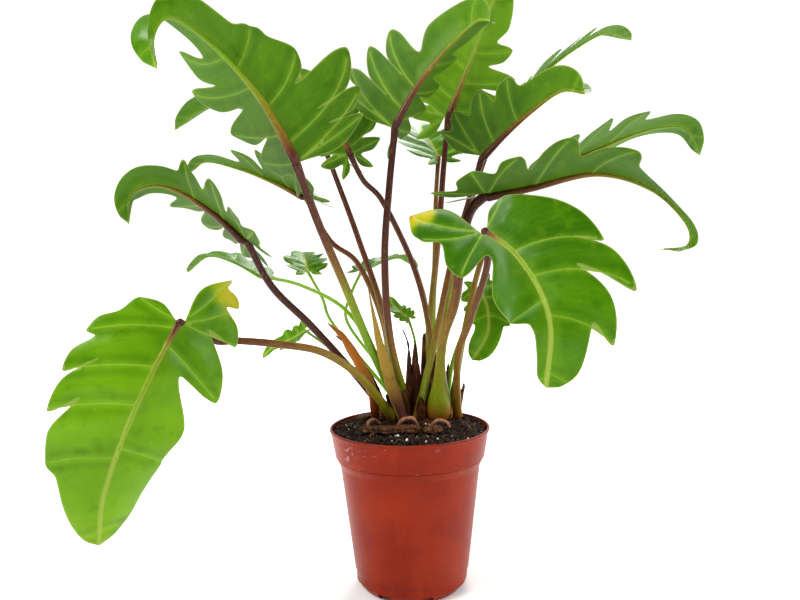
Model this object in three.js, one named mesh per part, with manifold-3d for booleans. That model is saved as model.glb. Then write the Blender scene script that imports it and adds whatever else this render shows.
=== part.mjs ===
// A tree philodendron in a 12 cm plastic nursery pot: about 44 cm wide and 45 cm high.
// Millimetres, +Z up, +X to the right and -Y to the front. The origin is the middle of the pot's base.
import * as THREE from "three";
import { mergeVertices } from "three/addons/utils/BufferGeometryUtils.js";
import Module from "manifold-3d";

const wasm = await Module();
wasm.setup();

// ---- Driving dimensions ----
const POT_HEIGHT = 118;
const RIM_RADIUS = 60;
const COLLAR_BOTTOM = 96.5; // where the straight collar starts, above the body's taper
const FOOT_RADIUS = 38;
const FOOT_HEIGHT = 5; // the skirt under the pot's floor
const HUB_RADIUS = 8; // the moulding gate's pad, level with the foot
const WALL = 1.4;
const NOTCHES = 8; // drainage notches round the foot
const NOTCH_WIDTH = 9;
const NOTCH_TURN = -31; // degrees from the front to the first notch
const GAP = 0.3; // left between pieces that touch
const SOIL_TOP = 121; // the soil is heaped a little above the rim in the middle
const SOIL_EDGE = 114.5;
const HEAP_RADIUS = 43;
const CROWN_TOP = 125; // the short stem that all the leaf stalks grow from
const CROWN_MIDDLE = [9, 12];
const CROWN_RADII = [31, 25];
const BLADE_THICKNESS = 1.2;
const MIDRIB_STEPS = 8;
const STALK_SHORT = 3.8; // how far the solid of a stalk ends before its joint
const NECK_ROOM = 2; // between the stalk and the blade on each side of the sinus
const STALK_SIDES = 7;
const STALK_STEPS = 10;

const COLOURS = {
  pot: 0x9c3f26,
  soil: 0x2b1f17,
  crown: 0x5a3f26,
  leaf: 0x4f8f1e,
  young: 0x7fb23a,
  stalk: 0x6f4a35,
  green: 0x7d8f3c,
  straw: 0xc19a4f,
  bark: 0x6b4a2f,
  root: 0xb99b77,
  dead: 0x241812,
};

// ---- Outlines ----
// Half a blade: lobe tip, notch, lobe tip, notch ... from the stalk to the leaf's tip, each as
// [across, along] in shares of the blade's length, measured from the joint of stalk and blade.
const OPEN = [
  [0.16, -0.22], [0.11, -0.08], [0.34, -0.03], [0.16, 0.04], [0.42, 0.14],
  [0.15, 0.17], [0.42, 0.32], [0.14, 0.33], [0.34, 0.51], [0.13, 0.52],
];
const OPEN_UNEVEN = [
  [0.2, -0.2], [0.12, -0.04], [0.38, 0.04], [0.16, 0.12], [0.43, 0.25],
  [0.15, 0.28], [0.37, 0.43], [0.14, 0.44], [0.26, 0.6], [0.13, 0.61],
];
const WIDE = [
  [0.15, -0.2], [0.13, -0.1], [0.3, -0.02], [0.22, 0.06], [0.36, 0.17],
  [0.2, 0.19], [0.37, 0.36], [0.2, 0.38], [0.33, 0.56], [0.19, 0.58],
];
const WIDE_UNEVEN = [
  [0.2, -0.18], [0.16, -0.06], [0.34, 0.05], [0.21, 0.12],
  [0.37, 0.26], [0.2, 0.29], [0.35, 0.46], [0.2, 0.48],
];
const YOUNG = [
  [0.17, -0.14], [0.15, -0.04], [0.28, 0.08], [0.21, 0.14],
  [0.3, 0.28], [0.2, 0.32], [0.26, 0.5], [0.18, 0.52],
];

// ---- Leaves ----
// root: where the stalk stands on the crown; stalk: the rest of its way, ending at the joint;
// radii: at the crown and at the joint; midrib: from the joint to the tip; facing: where the upper
// face looks, along the midrib; right, left: the halves, with end as the last shoulder before the
// tip; fold: how far each half rises from the midrib, in degrees, or [at the joint, at the tip];
// curl: how much more it turns up towards its margin; wave: [height, waves, phase] of the margin.
const LEAVES = {
  front_left: {
    root: [-12, 1], radii: [3.6, 2.3],
    stalk: [
      [-33, -37, 160], [-57, -58, 181], [-83, -69, 188],
      [-109, -71, 191], [-124, -77, 192], [-134, -108, 206],
    ],
    midrib: [[-134, -108, 206], [-143, -126, 180], [-158, -132, 145], [-174, -124, 108], [-183, -112, 77]],
    facing: [[0.5, -0.8, 0.4], [0.4, -0.9, 0.2], [0.3, -1, -0.1], [0.3, -0.9, -0.4], [0.3, -0.8, -0.4]],
    right: [
      [0.18, -0.04], [0.22, 0.04], [0.29, 0.16], [0.25, 0.17], [0.3, 0.34],
      [0.2, 0.25], [0.29, 0.49], [0.2, 0.41], [0.23, 0.68], [0.18, 0.72],
    ],
    left: [
      [0.11, -0.28], [0.11, -0.24], [0.19, -0.19], [0.14, -0.16], [0.25, -0.03],
      [0.12, -0.03], [0.29, 0.24], [0.1, 0.2], [0.2, 0.62], [0.2, 0.7],
    ],
    ends: [[0.1, 0.91], [0.15, 0.91]],
    fold: [-10, [-8, -40]], curl: [-12, -12], wave: [2, 2.5, 0.5],
  },
  front_right: {
    root: [37, 9], radii: [3.2, 2.4],
    stalk: [[35, -28, 173], [42, -46, 200], [50, -74, 236], [46, -96, 257]],
    midrib: [[46, -96, 257], [61, -108, 243], [73, -120, 221], [77, -128, 199], [75, -124, 167]],
    facing: [[-0.5, -0.9, 0.2], [-0.4, -0.9, 0.3], [-0.3, -0.9, 0.3], [-0.2, -1, 0.1], [-0.3, -1, -0.1]],
    right: [
      [0.2, -0.46], [0.24, -0.42], [0.27, -0.32], [0.21, -0.18],
      [0.29, 0.04], [0.1, 0.11], [0.2, 0.62], [0.1, 0.66],
    ],
    left: [
      [0.2, -0.04], [0.3, 0.1], [0.41, 0.4], [0.3, 0.33],
      [0.45, 0.59], [0.23, 0.44], [0.31, 0.76], [0.21, 0.68],
    ],
    ends: [[0.06, 0.86], [0.15, 0.9]],
    fold: [0, 0], curl: [-8, -8], wave: [2, 2, 0],
  },
  tall_left: {
    root: [-4, 6], radii: [3.8, 3],
    stalk: [[-28, -20, 181], [-44, -34, 225], [-59, -50, 266], [-72, -60, 306]],
    midrib: [
      [-72, -60, 306], [-92, -62, 344], [-113, -68, 370], [-132, -78, 386],
      [-143, -90, 388], [-148, -98, 373], [-147, -96, 356],
    ],
    facing: [
      [-0.2, 1, -0.1], [-0.2, 1, 0], [-0.3, 0.9, 0.2], [-0.3, 0.7, 0.6],
      [-0.5, 0.2, 0.8], [-0.9, -0.3, 0.3], [-1, -0.4, 0],
    ],
    right: [
      [0.2, -0.1], [0.12, -0.02], [0.36, 0.14], [0.14, 0.18], [0.42, 0.32],
      [0.16, 0.34], [0.41, 0.54], [0.2, 0.48], [0.3, 0.64], [0.12, 0.58],
    ],
    left: [
      [0.38, 0.08], [0.22, 0.1], [0.42, 0.18], [0.2, 0.17], [0.46, 0.29],
      [0.17, 0.28], [0.26, 0.37], [0.2, 0.46], [0.17, 0.52], [0.12, 0.57],
    ],
    ends: [[0.12, 0.84], [0.11, 0.74]],
    fold: [[80, 45], [10, 10]], curl: [0, 0], wave: [1, 2, 0],
  },
  mid_left: {
    root: [-15, 10], radii: [3.6, 2.8],
    stalk: [[-40, 0, 157], [-69, -28, 197], [-93, -42, 225], [-108, -50, 257]],
    midrib: [
      [-108, -50, 257], [-127, -54, 275], [-148, -60, 289],
      [-163, -68, 292], [-175, -74, 284], [-177, -72, 267],
    ],
    facing: [[0, 0, 1], [0, 0, 1], [-0.1, 0, 1], [-0.4, -0.1, 0.9], [-0.9, -0.3, 0.3], [-0.9, -0.4, 0]],
    right: OPEN, left: WIDE, ends: [[0.15, 0.74], [0.2, 0.76]],
    fold: [[-14, -6], [8, 24]], curl: [0, 5], wave: [2, 3, 0],
  },
  centre_tall: {
    root: [1, 13], radii: [3.4, 2.6],
    stalk: [[-13, -16, 184], [-16, -22, 243], [-12, -26, 292], [-7, -30, 334]],
    midrib: [[-7, -30, 334], [5, -34, 355], [22, -38, 377], [37, -46, 390], [48, -56, 396], [55, -66, 392]],
    facing: [[0.1, 1, 0.2], [0.1, 1, 0.1], [0.2, 1, 0.2], [0.4, 0.9, 0.3], [0.7, 0.6, 0.4], [0.8, 0.6, 0.1]],
    right: [
      [0.44, 0.08], [0.4, 0.13], [0.51, 0.2], [0.17, 0.17],
      [0.48, 0.35], [0.15, 0.32], [0.42, 0.48], [0.14, 0.49],
    ],
    left: OPEN_UNEVEN, ends: [[0.22, 0.62], [0.16, 0.74]],
    fold: [15, 80], curl: [5, 0], wave: [1, 2, 0],
  },
  right_long: {
    root: [23, 6], radii: [3.2, 2.6], swelling: 9,
    stalk: [[24, -24, 181], [33, -34, 213], [38, -44, 255], [43, -48, 274], [53, -52, 284]],
    midrib: [
      [53, -52, 284], [81, -60, 288], [120, -72, 294], [150, -84, 282],
      [168, -92, 260], [169, -92, 246], [153, -90, 244],
    ],
    facing: [
      [0, 0, 1], [0, 0, 1], [0, 0, 1], [0.3, -0.2, 0.9], [0.8, -0.3, 0.6], [1, -0.2, 0], [0.5, 0, -0.8],
    ],
    right: WIDE, left: OPEN_UNEVEN, ends: [[0.07, 0.72], [0.08, 0.72]], width: 0.72,
    fold: [14, 8], curl: [10, 0], wave: [2, 4, 0],
  },
  right_upper: {
    root: [6, 1], radii: [3.4, 2.4],
    stalk: [[22, -2, 190], [34, 0, 242], [46, -6, 283], [56, -12, 316]],
    midrib: [[56, -12, 316], [71, -26, 330], [86, -44, 341], [100, -66, 347], [110, -84, 340]],
    facing: [[0.1, 0.8, 0.6], [0.1, 0.8, 0.6], [0.2, 0.7, 0.7], [0.4, 0.6, 0.7], [0.6, 0.5, 0.6]],
    right: [
      [0.36, -0.1], [0.3, -0.02], [0.38, 0.08], [0.28, 0.15],
      [0.35, 0.3], [0.22, 0.33], [0.28, 0.5], [0.18, 0.54],
    ],
    left: WIDE_UNEVEN, ends: [[0.16, 0.78], [0.18, 0.78]],
    fold: [25, 72], curl: [0, 0], wave: [2.5, 4, 0],
  },
  right_mid: {
    root: [33, 19], radii: [3.2, 2.2],
    stalk: [[43, 18, 180], [57, 26, 235], [76, 34, 279], [110, 38, 312]],
    midrib: [[110, 38, 312], [150, 38, 329], [194, 36, 345], [224, 32, 345], [235, 30, 323]],
    facing: [[0, 0, 1], [0, 0, 1], [0.2, -0.1, 1], [0.8, -0.2, 0.6], [1, -0.2, 0.1]],
    right: WIDE, left: WIDE_UNEVEN, ends: [[0.17, 0.76], [0.16, 0.74]], width: 0.85,
    fold: [16, -8], curl: [0, 0], wave: [2, 3, 0],
  },
  top_centre: {
    root: [9, 16], radii: [3.2, 2.4],
    stalk: [[18, 27, 196], [25, 20, 259], [30, 20, 313], [34, 18, 353]],
    midrib: [[34, 18, 353], [45, 14, 379], [57, 8, 407], [67, 0, 431], [71, -10, 447]],
    facing: [[0, 1, 0.1], [0, 1, 0.2], [0.1, 1, 0.2], [0.2, 0.9, 0.4], [0.3, 0.8, 0.5]],
    right: OPEN, left: OPEN_UNEVEN, ends: [[0.17, 0.7], [0.17, 0.72]],
    fold: [15, 15], curl: [0, 0], wave: [2, 2, 0],
  },
  top_right: {
    root: [25, 21], radii: [3, 2.2],
    stalk: [[30, 34, 195], [45, 44, 260], [67, 54, 327], [90, 60, 374]],
    midrib: [[90, 60, 374], [117, 66, 401], [149, 74, 425], [178, 82, 440], [204, 92, 437]],
    facing: [[-0.5, -0.1, 0.8], [-0.4, -0.1, 0.9], [-0.3, -0.1, 1], [0, -0.1, 1], [0.3, -0.1, 0.9]],
    right: OPEN_UNEVEN, left: OPEN, ends: [[0.16, 0.72], [0.17, 0.72]], width: 0.8,
    fold: [8, 8], curl: [0, 0], wave: [2, 2, 0],
  },
  behind_right: {
    root: [19, 28], radii: [2.8, 2],
    stalk: [[21, 44, 186], [24, 52, 244], [26, 58, 295], [29, 62, 331]],
    midrib: [[29, 62, 331], [23, 82, 348], [16, 106, 365], [13, 128, 376]],
    facing: [[0, -0.5, 0.8], [0, -0.3, 1], [0, -0.1, 1], [0, 0.2, 1]],
    right: OPEN, left: OPEN, ends: [[0.17, 0.72], [0.17, 0.72]], width: 1.1,
    fold: [20, 20], curl: [0, 0], wave: [2, 2, 0],
  },
  centre_left: {
    root: [16, 21], radii: [3, 2.3],
    stalk: [[17, 4, 182], [7, 16, 234], [-17, 18, 288], [-32, 14, 305], [-42, 10, 325]],
    midrib: [[-42, 10, 325], [-48, 5, 343], [-59, 2, 360], [-74, 2, 376], [-81, 5, 389]],
    facing: [[0, 1, 0.1], [0.1, 1, 0.1], [0.2, 1, 0.1], [0.3, 0.9, 0.1], [0.4, 0.9, 0]],
    right: OPEN, left: OPEN_UNEVEN, ends: [[0.17, 0.7], [0.17, 0.72]],
    fold: [20, 30], curl: [0, 0], wave: [3, 2, 0],
  },
  back_tall_left: {
    root: [-8, 14], radii: [3.2, 2.4],
    stalk: [[-18, 23, 197], [-38, 36, 261], [-54, 47, 306], [-67, 58, 341]],
    midrib: [[-67, 58, 341], [-95, 66, 365], [-135, 76, 379], [-172, 86, 384], [-204, 92, 365]],
    facing: [[0.2, 0, 1], [0, 0, 1], [-0.2, 0, 1], [-0.6, 0, 0.8], [-1, 0, 0.3]],
    right: OPEN, left: OPEN_UNEVEN, ends: [[0.16, 0.74], [0.16, 0.74]], width: 0.8,
    fold: [10, 18], curl: [0, 0], wave: [2, 2, 0],
  },
  back_left: {
    root: [-14, 20], radii: [3, 2.3],
    stalk: [[-18, 29, 188], [-39, 44, 241], [-63, 50, 262], [-83, 52, 299]],
    midrib: [[-83, 52, 299], [-108, 54, 312], [-138, 58, 324], [-168, 62, 331], [-184, 64, 321]],
    facing: [[0, 0, 1], [0, 0, 1], [0, 0, 1], [-0.5, -0.1, 0.9], [-1, 0, 0.3]],
    right: OPEN_UNEVEN, left: OPEN, ends: [[0.16, 0.72], [0.16, 0.72]], width: 0.95,
    fold: [8, 18], curl: [0, 0], wave: [2, 2.5, 1],
  },
  low_back_left: {
    root: [-7, 22], radii: [2.4, 1.5], young: true,
    stalk: [[-24, 39, 163], [-51, 48, 204], [-90, 62, 225], [-124, 70, 233]],
    midrib: [[-124, 70, 233], [-149, 76, 246], [-174, 82, 252], [-194, 86, 238]],
    facing: [[0, 0, 1], [0, 0, 1], [-0.3, -0.1, 1], [-0.9, 0, 0.4]],
    right: YOUNG, left: YOUNG, ends: [[0.16, 0.8], [0.16, 0.8]],
    fold: [12, 12], curl: [0, 0], wave: [2, 3, 0],
  },
  back_centre_left: {
    root: [-3, 29], radii: [2, 1.3], young: true,
    stalk: [[-38, 52, 161], [-66, 70, 194], [-74, 80, 213], [-88, 90, 237]],
    midrib: [[-88, 90, 237], [-92, 104, 246], [-97, 124, 252], [-101, 146, 257]],
    facing: [[0, 0, 1], [0, 0, 1], [0, 0, 1], [0, 0.5, 0.8]],
    right: YOUNG, left: YOUNG, ends: [[0.16, 0.8], [0.16, 0.8]], width: 1.1,
    fold: [12, 12], curl: [0, 0], wave: [3, 3, 0],
  },
  back_centre: {
    root: [5, 32], radii: [2, 1.3], young: true,
    stalk: [[-28, 60, 160], [-53, 80, 193], [-50, 92, 215], [-40, 100, 237]],
    midrib: [[-40, 100, 237], [-23, 112, 245], [-5, 124, 249], [11, 134, 239]],
    facing: [[0, 0, 1], [0, 0, 1], [0.1, 0.1, 1], [0.4, 0.2, 0.9]],
    right: YOUNG, left: YOUNG, ends: [[0.16, 0.8], [0.16, 0.8]],
    fold: [12, 12], curl: [0, 0], wave: [3, 3, 0],
  },
  behind_front_right: {
    root: [30, 28], radii: [2.2, 1.4], young: true,
    stalk: [[36, 38, 158], [50, 62, 189], [59, 75, 212], [64, 70, 220]],
    midrib: [[64, 70, 220], [69, 62, 202], [68, 58, 181], [55, 57, 159]],
    facing: [[0, -0.9, -0.3], [-0.1, -1, -0.2], [-0.1, -1, 0], [-0.1, -1, 0.1]],
    right: YOUNG, left: YOUNG, ends: [[0.16, 0.8], [0.16, 0.8]],
    fold: [10, 10], curl: [0, 0], wave: [2, 2, 0],
  },
  small_left: {
    root: [-20, 17], radii: [1.8, 1.1], young: true,
    stalk: [[-38, 28, 150], [-57, 36, 168], [-84, 42, 188]],
    midrib: [[-84, 42, 188], [-95, 46, 181], [-110, 50, 175], [-122, 52, 165]],
    facing: [[-0.6, -0.5, 0.7], [-0.5, -0.5, 0.7], [-0.5, -0.5, 0.7], [-0.6, -0.5, 0.6]],
    right: YOUNG, left: YOUNG, ends: [[0.16, 0.8], [0.16, 0.8]],
    fold: [10, 10], curl: [0, 0], wave: [1, 3, 0],
  },
  small_centre: {
    root: [11, 26], radii: [1.6, 1], young: true,
    stalk: [[8, 34, 155], [6, 42, 178], [1, 48, 196]],
    midrib: [[1, 48, 196], [-5, 52, 201], [-11, 58, 206], [-15, 62, 214]],
    facing: [[0.1, -0.7, 0.7], [0.1, -0.6, 0.8], [0.3, -0.6, 0.7], [0.5, -0.7, 0.6]],
    right: YOUNG, left: YOUNG, ends: [[0.16, 0.8], [0.16, 0.8]], width: 1.1,
    fold: [10, 10], curl: [0, 0], wave: [1, 2, 0],
  },
};

// Dry scales that wrapped the young leaves, dead stalk stubs and roots: a route and its two radii.
const STRIPS = {
  sheath_tan: {
    points: [[-3, -17, 122.4], [-13, -14, 150], [-21, -21, 179], [-28, -26, 222]],
    radii: [3.4, 0.9], flat: 0.35, colour: "straw",
  },
  sheath_orange: {
    points: [[-26, 1, 122.4], [-28, -16, 150], [-45, -24, 185], [-57, -30, 199]],
    radii: [3.2, 0.9], flat: 0.35, colour: "straw",
  },
  stub_left: {
    points: [[-17, 15, 125.6], [-28, 10, 153], [-43, 6, 175], [-55, 2, 187]],
    radii: [1.3, 0.7], flat: 1, colour: "dead",
  },
  stub_centre: {
    points: [[7, 8, 125.6], [2, 4, 153], [0, 0, 179], [-4, -2, 191]],
    radii: [1.3, 0.7], flat: 1, colour: "dead",
  },
  root_front: {
    points: [[-9, -20, 122.2], [-5, -22, 127], [2, -22, 128], [6, -20, 122.2]],
    radii: [1.6, 1.4], flat: 1, colour: "root",
  },
  root_right: {
    points: [[16, -17, 122.4], [20, -22, 126], [26, -24, 125.5], [29, -24, 122.2]],
    radii: [1.7, 1.2], flat: 1, colour: "root",
  },
  root_left: {
    points: [[-22, -9, 122.2], [-26, -13, 125.5], [-30, -18, 125], [-31, -21, 122]],
    radii: [1.5, 1.1], flat: 1, colour: "root",
  },
};

// Chips of bark on the soil: middle, half sizes and turn about the vertical in degrees.
const CHIPS = {
  bark_long: { at: [-14, -33, 123.2], half: [21, 4, 1.8], turn: -4 },
  bark_short: { at: [16, -35, 123], half: [7, 4, 1.6], turn: 24 },
  bark_back: { at: [-34, 8, 123], half: [6, 4.5, 1.6], turn: 60 },
};

// ---- Helpers ----
const vector = (p) => new THREE.Vector3(...p);
const lerp = THREE.MathUtils.lerp;
const clamp = THREE.MathUtils.clamp;
const radians = THREE.MathUtils.degToRad;

function curveThrough(points) {
  return new THREE.CatmullRomCurve3(points, false, "catmullrom");
}

function meshFrom(positions, triangles) {
  const geometry = new THREE.BufferGeometry();
  geometry.setAttribute("position", new THREE.Float32BufferAttribute(positions, 3));
  geometry.setIndex(triangles);
  return geometry;
}

function solidFrom(geometry) {
  const bare = geometry.clone();
  bare.deleteAttribute("normal");
  bare.deleteAttribute("uv");
  const merged = mergeVertices(bare, 1e-4);
  return new wasm.Manifold(
    new wasm.Mesh({
      numProp: 3,
      vertProperties: merged.attributes.position.array,
      triVerts: new Uint32Array(merged.index.array),
    }),
  );
}

function geometryFrom(solid) {
  const mesh = solid.getMesh();
  return meshFrom([...mesh.vertProperties], [...mesh.triVerts]);
}

// A tube through points, radiusAt(share, height) thick, squashed to flat times that across.
function tube(curve, radiusAt, flat = 1, sides = STALK_SIDES, steps = STALK_STEPS) {
  const { normals, binormals } = curve.computeFrenetFrames(steps, false);
  const positions = [];
  const triangles = [];
  for (let i = 0; i <= steps; i++) {
    const centre = curve.getPointAt(i / steps);
    const radius = radiusAt(i / steps, centre.z);
    for (let j = 0; j < sides; j++) {
      const angle = (2 * Math.PI * j) / sides;
      const p = centre
        .clone()
        .addScaledVector(normals[i], radius * flat * Math.cos(angle))
        .addScaledVector(binormals[i], radius * Math.sin(angle));
      positions.push(p.x, p.y, p.z);
    }
  }
  for (let i = 0; i < steps; i++) {
    for (let j = 0; j < sides; j++) {
      const a = i * sides + j;
      const b = i * sides + ((j + 1) % sides);
      triangles.push(a, b, a + sides, b, b + sides, a + sides);
    }
  }
  const last = steps * sides;
  for (let j = 1; j < sides - 1; j++) {
    triangles.push(0, j + 1, j, last, last + j, last + j + 1);
  }
  return meshFrom(positions, triangles);
}

// ---- Leaf blades ----
// The margin from the sinus at the stalk to the tip, as [across, along] in shares of the length. Each
// lobe swells on its stalk side, and its tip hooks over towards the next notch.
function marginKeys(points, end, neck) {
  const keys = [[neck, -0.004]];
  let from = [0, 0];
  for (let i = 0; i < points.length; i += 2) {
    const tip = points[i];
    const notch = points[i + 1];
    const rise = [tip[0] - from[0], tip[1] - from[1]];
    const fall = [notch[0] - tip[0], notch[1] - tip[1]];
    keys.push([from[0] + 0.55 * rise[0] + 0.15 * rise[1], from[1] + 0.55 * rise[1] - 0.15 * rise[0]]);
    keys.push(tip);
    keys.push([tip[0] + 0.25 * fall[0] + 0.06 * fall[1], tip[1] + 0.25 * fall[1] - 0.06 * fall[0]]);
    keys.push(notch);
    from = notch;
  }
  keys.push(end);
  keys.push([0.4 * end[0] + 0.15 * (1 - end[1]), end[1] + 0.6 * (1 - end[1]) + 0.15 * end[0]]);
  keys.push([0, 1]);
  return keys;
}

class Blade {
  constructor(leaf) {
    this.leaf = leaf;
    this.width = leaf.width ?? 1;
    this.midrib = curveThrough(leaf.midrib.map(vector));
    this.midrib.arcLengthDivisions = 24 * (leaf.midrib.length - 1);
    const lengths = this.midrib.getLengths();
    this.length = lengths.at(-1);
    this.stations = leaf.midrib.map((_, i) => lengths[24 * i]);
    this.facing = leaf.facing.map(vector);
  }

  // The midrib's point, its direction, the way the face looks and the way to the right half.
  frame(along) {
    const y = clamp(along, 0, this.length);
    const point = this.midrib.getPointAt(y / this.length);
    const ahead = this.midrib.getTangentAt(y / this.length);
    let i = 0;
    while (i < this.stations.length - 2 && this.stations[i + 1] < y) i++;
    const share = (y - this.stations[i]) / (this.stations[i + 1] - this.stations[i]);
    const up = this.facing[i].clone().lerp(this.facing[i + 1], share);
    up.addScaledVector(ahead, -up.dot(ahead)).normalize();
    const right = ahead.clone().cross(up);
    point.addScaledVector(ahead, along - y);
    return { point, up, right };
  }

  // side is 1 for the right half and -1 for the left; across and along are millimetres.
  place(side, across, along, offset) {
    const { point, up, right } = this.frame(along);
    const half = side > 0 ? 0 : 1;
    const share = clamp(along / this.length, 0, 1);
    const fold = [this.leaf.fold[half]].flat();
    const reach = 0.42 * this.length * this.width;
    const curl = 0.5 * this.leaf.curl[half] * (across / reach);
    const angle = radians(lerp(fold[0], fold.at(-1), share) + curl);
    const [height, waves, phase] = this.leaf.wave;
    const turn = 2 * Math.PI * waves * (along / this.length) + phase + (side > 0 ? 0 : 1.7);
    const lift = across * Math.sin(angle) + height * (across / reach) ** 2 * Math.sin(turn);
    // The thickness stands square to the half blade, and straight up on the midrib itself.
    const lean = angle * Math.min(1, across);
    return point
      .addScaledVector(right, side * (across * Math.cos(angle) - offset * Math.sin(lean)))
      .addScaledVector(up, lift + offset * Math.cos(lean));
  }

  // Half the outline as [across, along] in millimetres: out along the margin, back down the midrib.
  contour(half) {
    const points = [this.leaf.right, this.leaf.left][half];
    const neck = (this.leaf.radii[1] + NECK_ROOM) / this.length;
    const margin = marginKeys(points, this.leaf.ends[half], neck).map(
      ([across, along]) => [across * this.width * this.length, along * this.length],
    );
    for (let i = MIDRIB_STEPS - 1; i >= 0; i--) {
      margin.push([0, (this.length * i) / MIDRIB_STEPS]);
    }
    return margin;
  }

  solid() {
    const upper = [];
    const lower = [];
    const triangles = [];
    const seen = new Map();
    const vertex = (side, [across, along]) => {
      const name = [side * across, along].map((v) => v.toFixed(3)).join();
      if (!seen.has(name)) {
        seen.set(name, upper.length);
        upper.push(this.place(side, across, along, BLADE_THICKNESS / 2));
        lower.push(this.place(side, across, along, -BLADE_THICKNESS / 2));
      }
      return seen.get(name);
    };
    for (const side of [1, -1]) {
      const contour = this.contour(side > 0 ? 0 : 1);
      const flat = contour.map(([x, y]) => new THREE.Vector2(x, y));
      let faces = THREE.ShapeUtils.triangulateShape(flat, []).map((face) => face.map((i) => contour[i]));
      if (!this.leaf.young) faces = faces.flatMap(quartered);
      for (const face of faces) {
        const [a, b, c] = face.map((point) => vertex(side, point));
        triangles.push(side > 0 ? [a, b, c] : [a, c, b]);
      }
    }
    return thicken(upper, lower, triangles);
  }
}

// A flat triangle cut into four at the middles of its sides.
function quartered([a, b, c]) {
  const middle = (p, q) => [(p[0] + q[0]) / 2, (p[1] + q[1]) / 2];
  const ab = middle(a, b);
  const bc = middle(b, c);
  const ca = middle(c, a);
  return [[a, ab, ca], [ab, b, bc], [ca, bc, c], [ab, bc, ca]];
}

// Closes the space between an upper and a lower sheet that have the same triangles.
function thicken(upper, lower, triangles) {
  const count = upper.length;
  const edges = new Set();
  for (const [a, b, c] of triangles) {
    edges.add(a + "," + b).add(b + "," + c).add(c + "," + a);
  }
  const faces = [];
  for (const [a, b, c] of triangles) {
    faces.push(a, b, c, a + count, c + count, b + count);
    for (const [from, to] of [[a, b], [b, c], [c, a]]) {
      if (edges.has(to + "," + from)) continue;
      faces.push(from, from + count, to + count, from, to + count, to);
    }
  }
  return meshFrom([...upper, ...lower].flatMap((p) => p.toArray()), faces);
}

// ---- Leaf stalks ----
// A stalk stands on the crown and ends just short of its blade; the swollen one clasps the crown.
function stalk({ root, stalk: way, radii, swelling = 0 }) {
  const first = vector(way[0]);
  const foot = new THREE.Vector3(...root, CROWN_TOP);
  const lean = Math.hypot(first.x - foot.x, first.y - foot.y) / first.distanceTo(foot);
  foot.z += GAP + Math.max(radii[0], swelling) * lean * 1.15;
  const points = [foot, ...way.map(vector)];
  const last = points.at(-1);
  const before = points.at(-2);
  const ahead = last.clone().sub(before).normalize();
  points[points.length - 1] = last.clone().addScaledVector(ahead, -STALK_SHORT);
  const radiusAt = (share, height) => {
    const taper = lerp(radii[0], radii[1], share);
    return Math.max(taper, swelling - 0.3 * (height - CROWN_TOP));
  };
  return tube(curveThrough(points), radiusAt);
}

// ---- Pot, soil and crown ----
function pot() {
  const outline = [
    [0, 0], [HUB_RADIUS, 0], [HUB_RADIUS + 1, FOOT_HEIGHT], [FOOT_RADIUS - 2.6, FOOT_HEIGHT],
    [FOOT_RADIUS - 2, 0], [FOOT_RADIUS, 0], [FOOT_RADIUS + 4, 5], [FOOT_RADIUS + 4, 12],
    [FOOT_RADIUS + 5, 12.5], [53, COLLAR_BOTTOM - 5.5], [56, COLLAR_BOTTOM],
    [RIM_RADIUS - 0.6, POT_HEIGHT - 2], [RIM_RADIUS, POT_HEIGHT - 1.4], [RIM_RADIUS, POT_HEIGHT],
    [RIM_RADIUS - WALL, POT_HEIGHT], [56 - WALL, COLLAR_BOTTOM + 0.4], [53 - WALL, COLLAR_BOTTOM - 5.1],
    [FOOT_RADIUS + 5 - WALL, FOOT_HEIGHT + 2], [0, FOOT_HEIGHT + 2],
  ];
  const turned = new THREE.LatheGeometry(outline.map((p) => new THREE.Vector2(...p)), 32);
  turned.rotateX(Math.PI / 2);
  let solid = solidFrom(turned);
  for (let i = 0; i < NOTCHES; i++) {
    const notch = new THREE.BoxGeometry(NOTCH_WIDTH, 14, 2 * FOOT_HEIGHT - 0.4);
    notch.translate(0, -FOOT_RADIUS - 1, 0);
    notch.rotateZ(radians(NOTCH_TURN + (i * 360) / NOTCHES));
    solid = solid.subtract(solidFrom(notch));
  }
  return geometryFrom(solid);
}

function soil() {
  const inside = FOOT_RADIUS + 5 - WALL - GAP;
  const outline = [
    [0, FOOT_HEIGHT + 2 + GAP], [inside - 0.1, FOOT_HEIGHT + 2 + GAP],
    [53 - WALL - GAP - 0.1, COLLAR_BOTTOM - 5], [56 - WALL - GAP - 0.1, COLLAR_BOTTOM + 0.6],
    [RIM_RADIUS - WALL - GAP - 0.7, SOIL_EDGE], [HEAP_RADIUS + 6, SOIL_TOP - 2],
    [HEAP_RADIUS, SOIL_TOP], [0, SOIL_TOP],
  ];
  const heap = new THREE.LatheGeometry(outline.map((p) => new THREE.Vector2(...p)), 32);
  heap.rotateX(Math.PI / 2);
  return geometryFrom(solidFrom(heap));
}

function crown() {
  const shape = new THREE.Shape();
  shape.absellipse(...CROWN_MIDDLE, ...CROWN_RADII, 0, 2 * Math.PI);
  const bottom = SOIL_TOP + GAP;
  const disc = new THREE.ExtrudeGeometry(shape, {
    depth: CROWN_TOP - bottom,
    bevelEnabled: false,
    curveSegments: 20,
  });
  disc.translate(0, 0, bottom);
  return disc;
}

function barkChip({ at, half, turn }) {
  const chip = new THREE.SphereGeometry(1, 8, 5);
  chip.scale(...half);
  chip.rotateZ(radians(turn));
  chip.translate(...at);
  return geometryFrom(solidFrom(chip));
}

// ---- Assembly ----
const plant = new THREE.Group();

function add(name, geometry, colour, roughness = 0.6) {
  const material = new THREE.MeshStandardMaterial({ color: COLOURS[colour], roughness, metalness: 0 });
  const mesh = new THREE.Mesh(geometry, material);
  mesh.name = name;
  plant.add(mesh);
}

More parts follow.
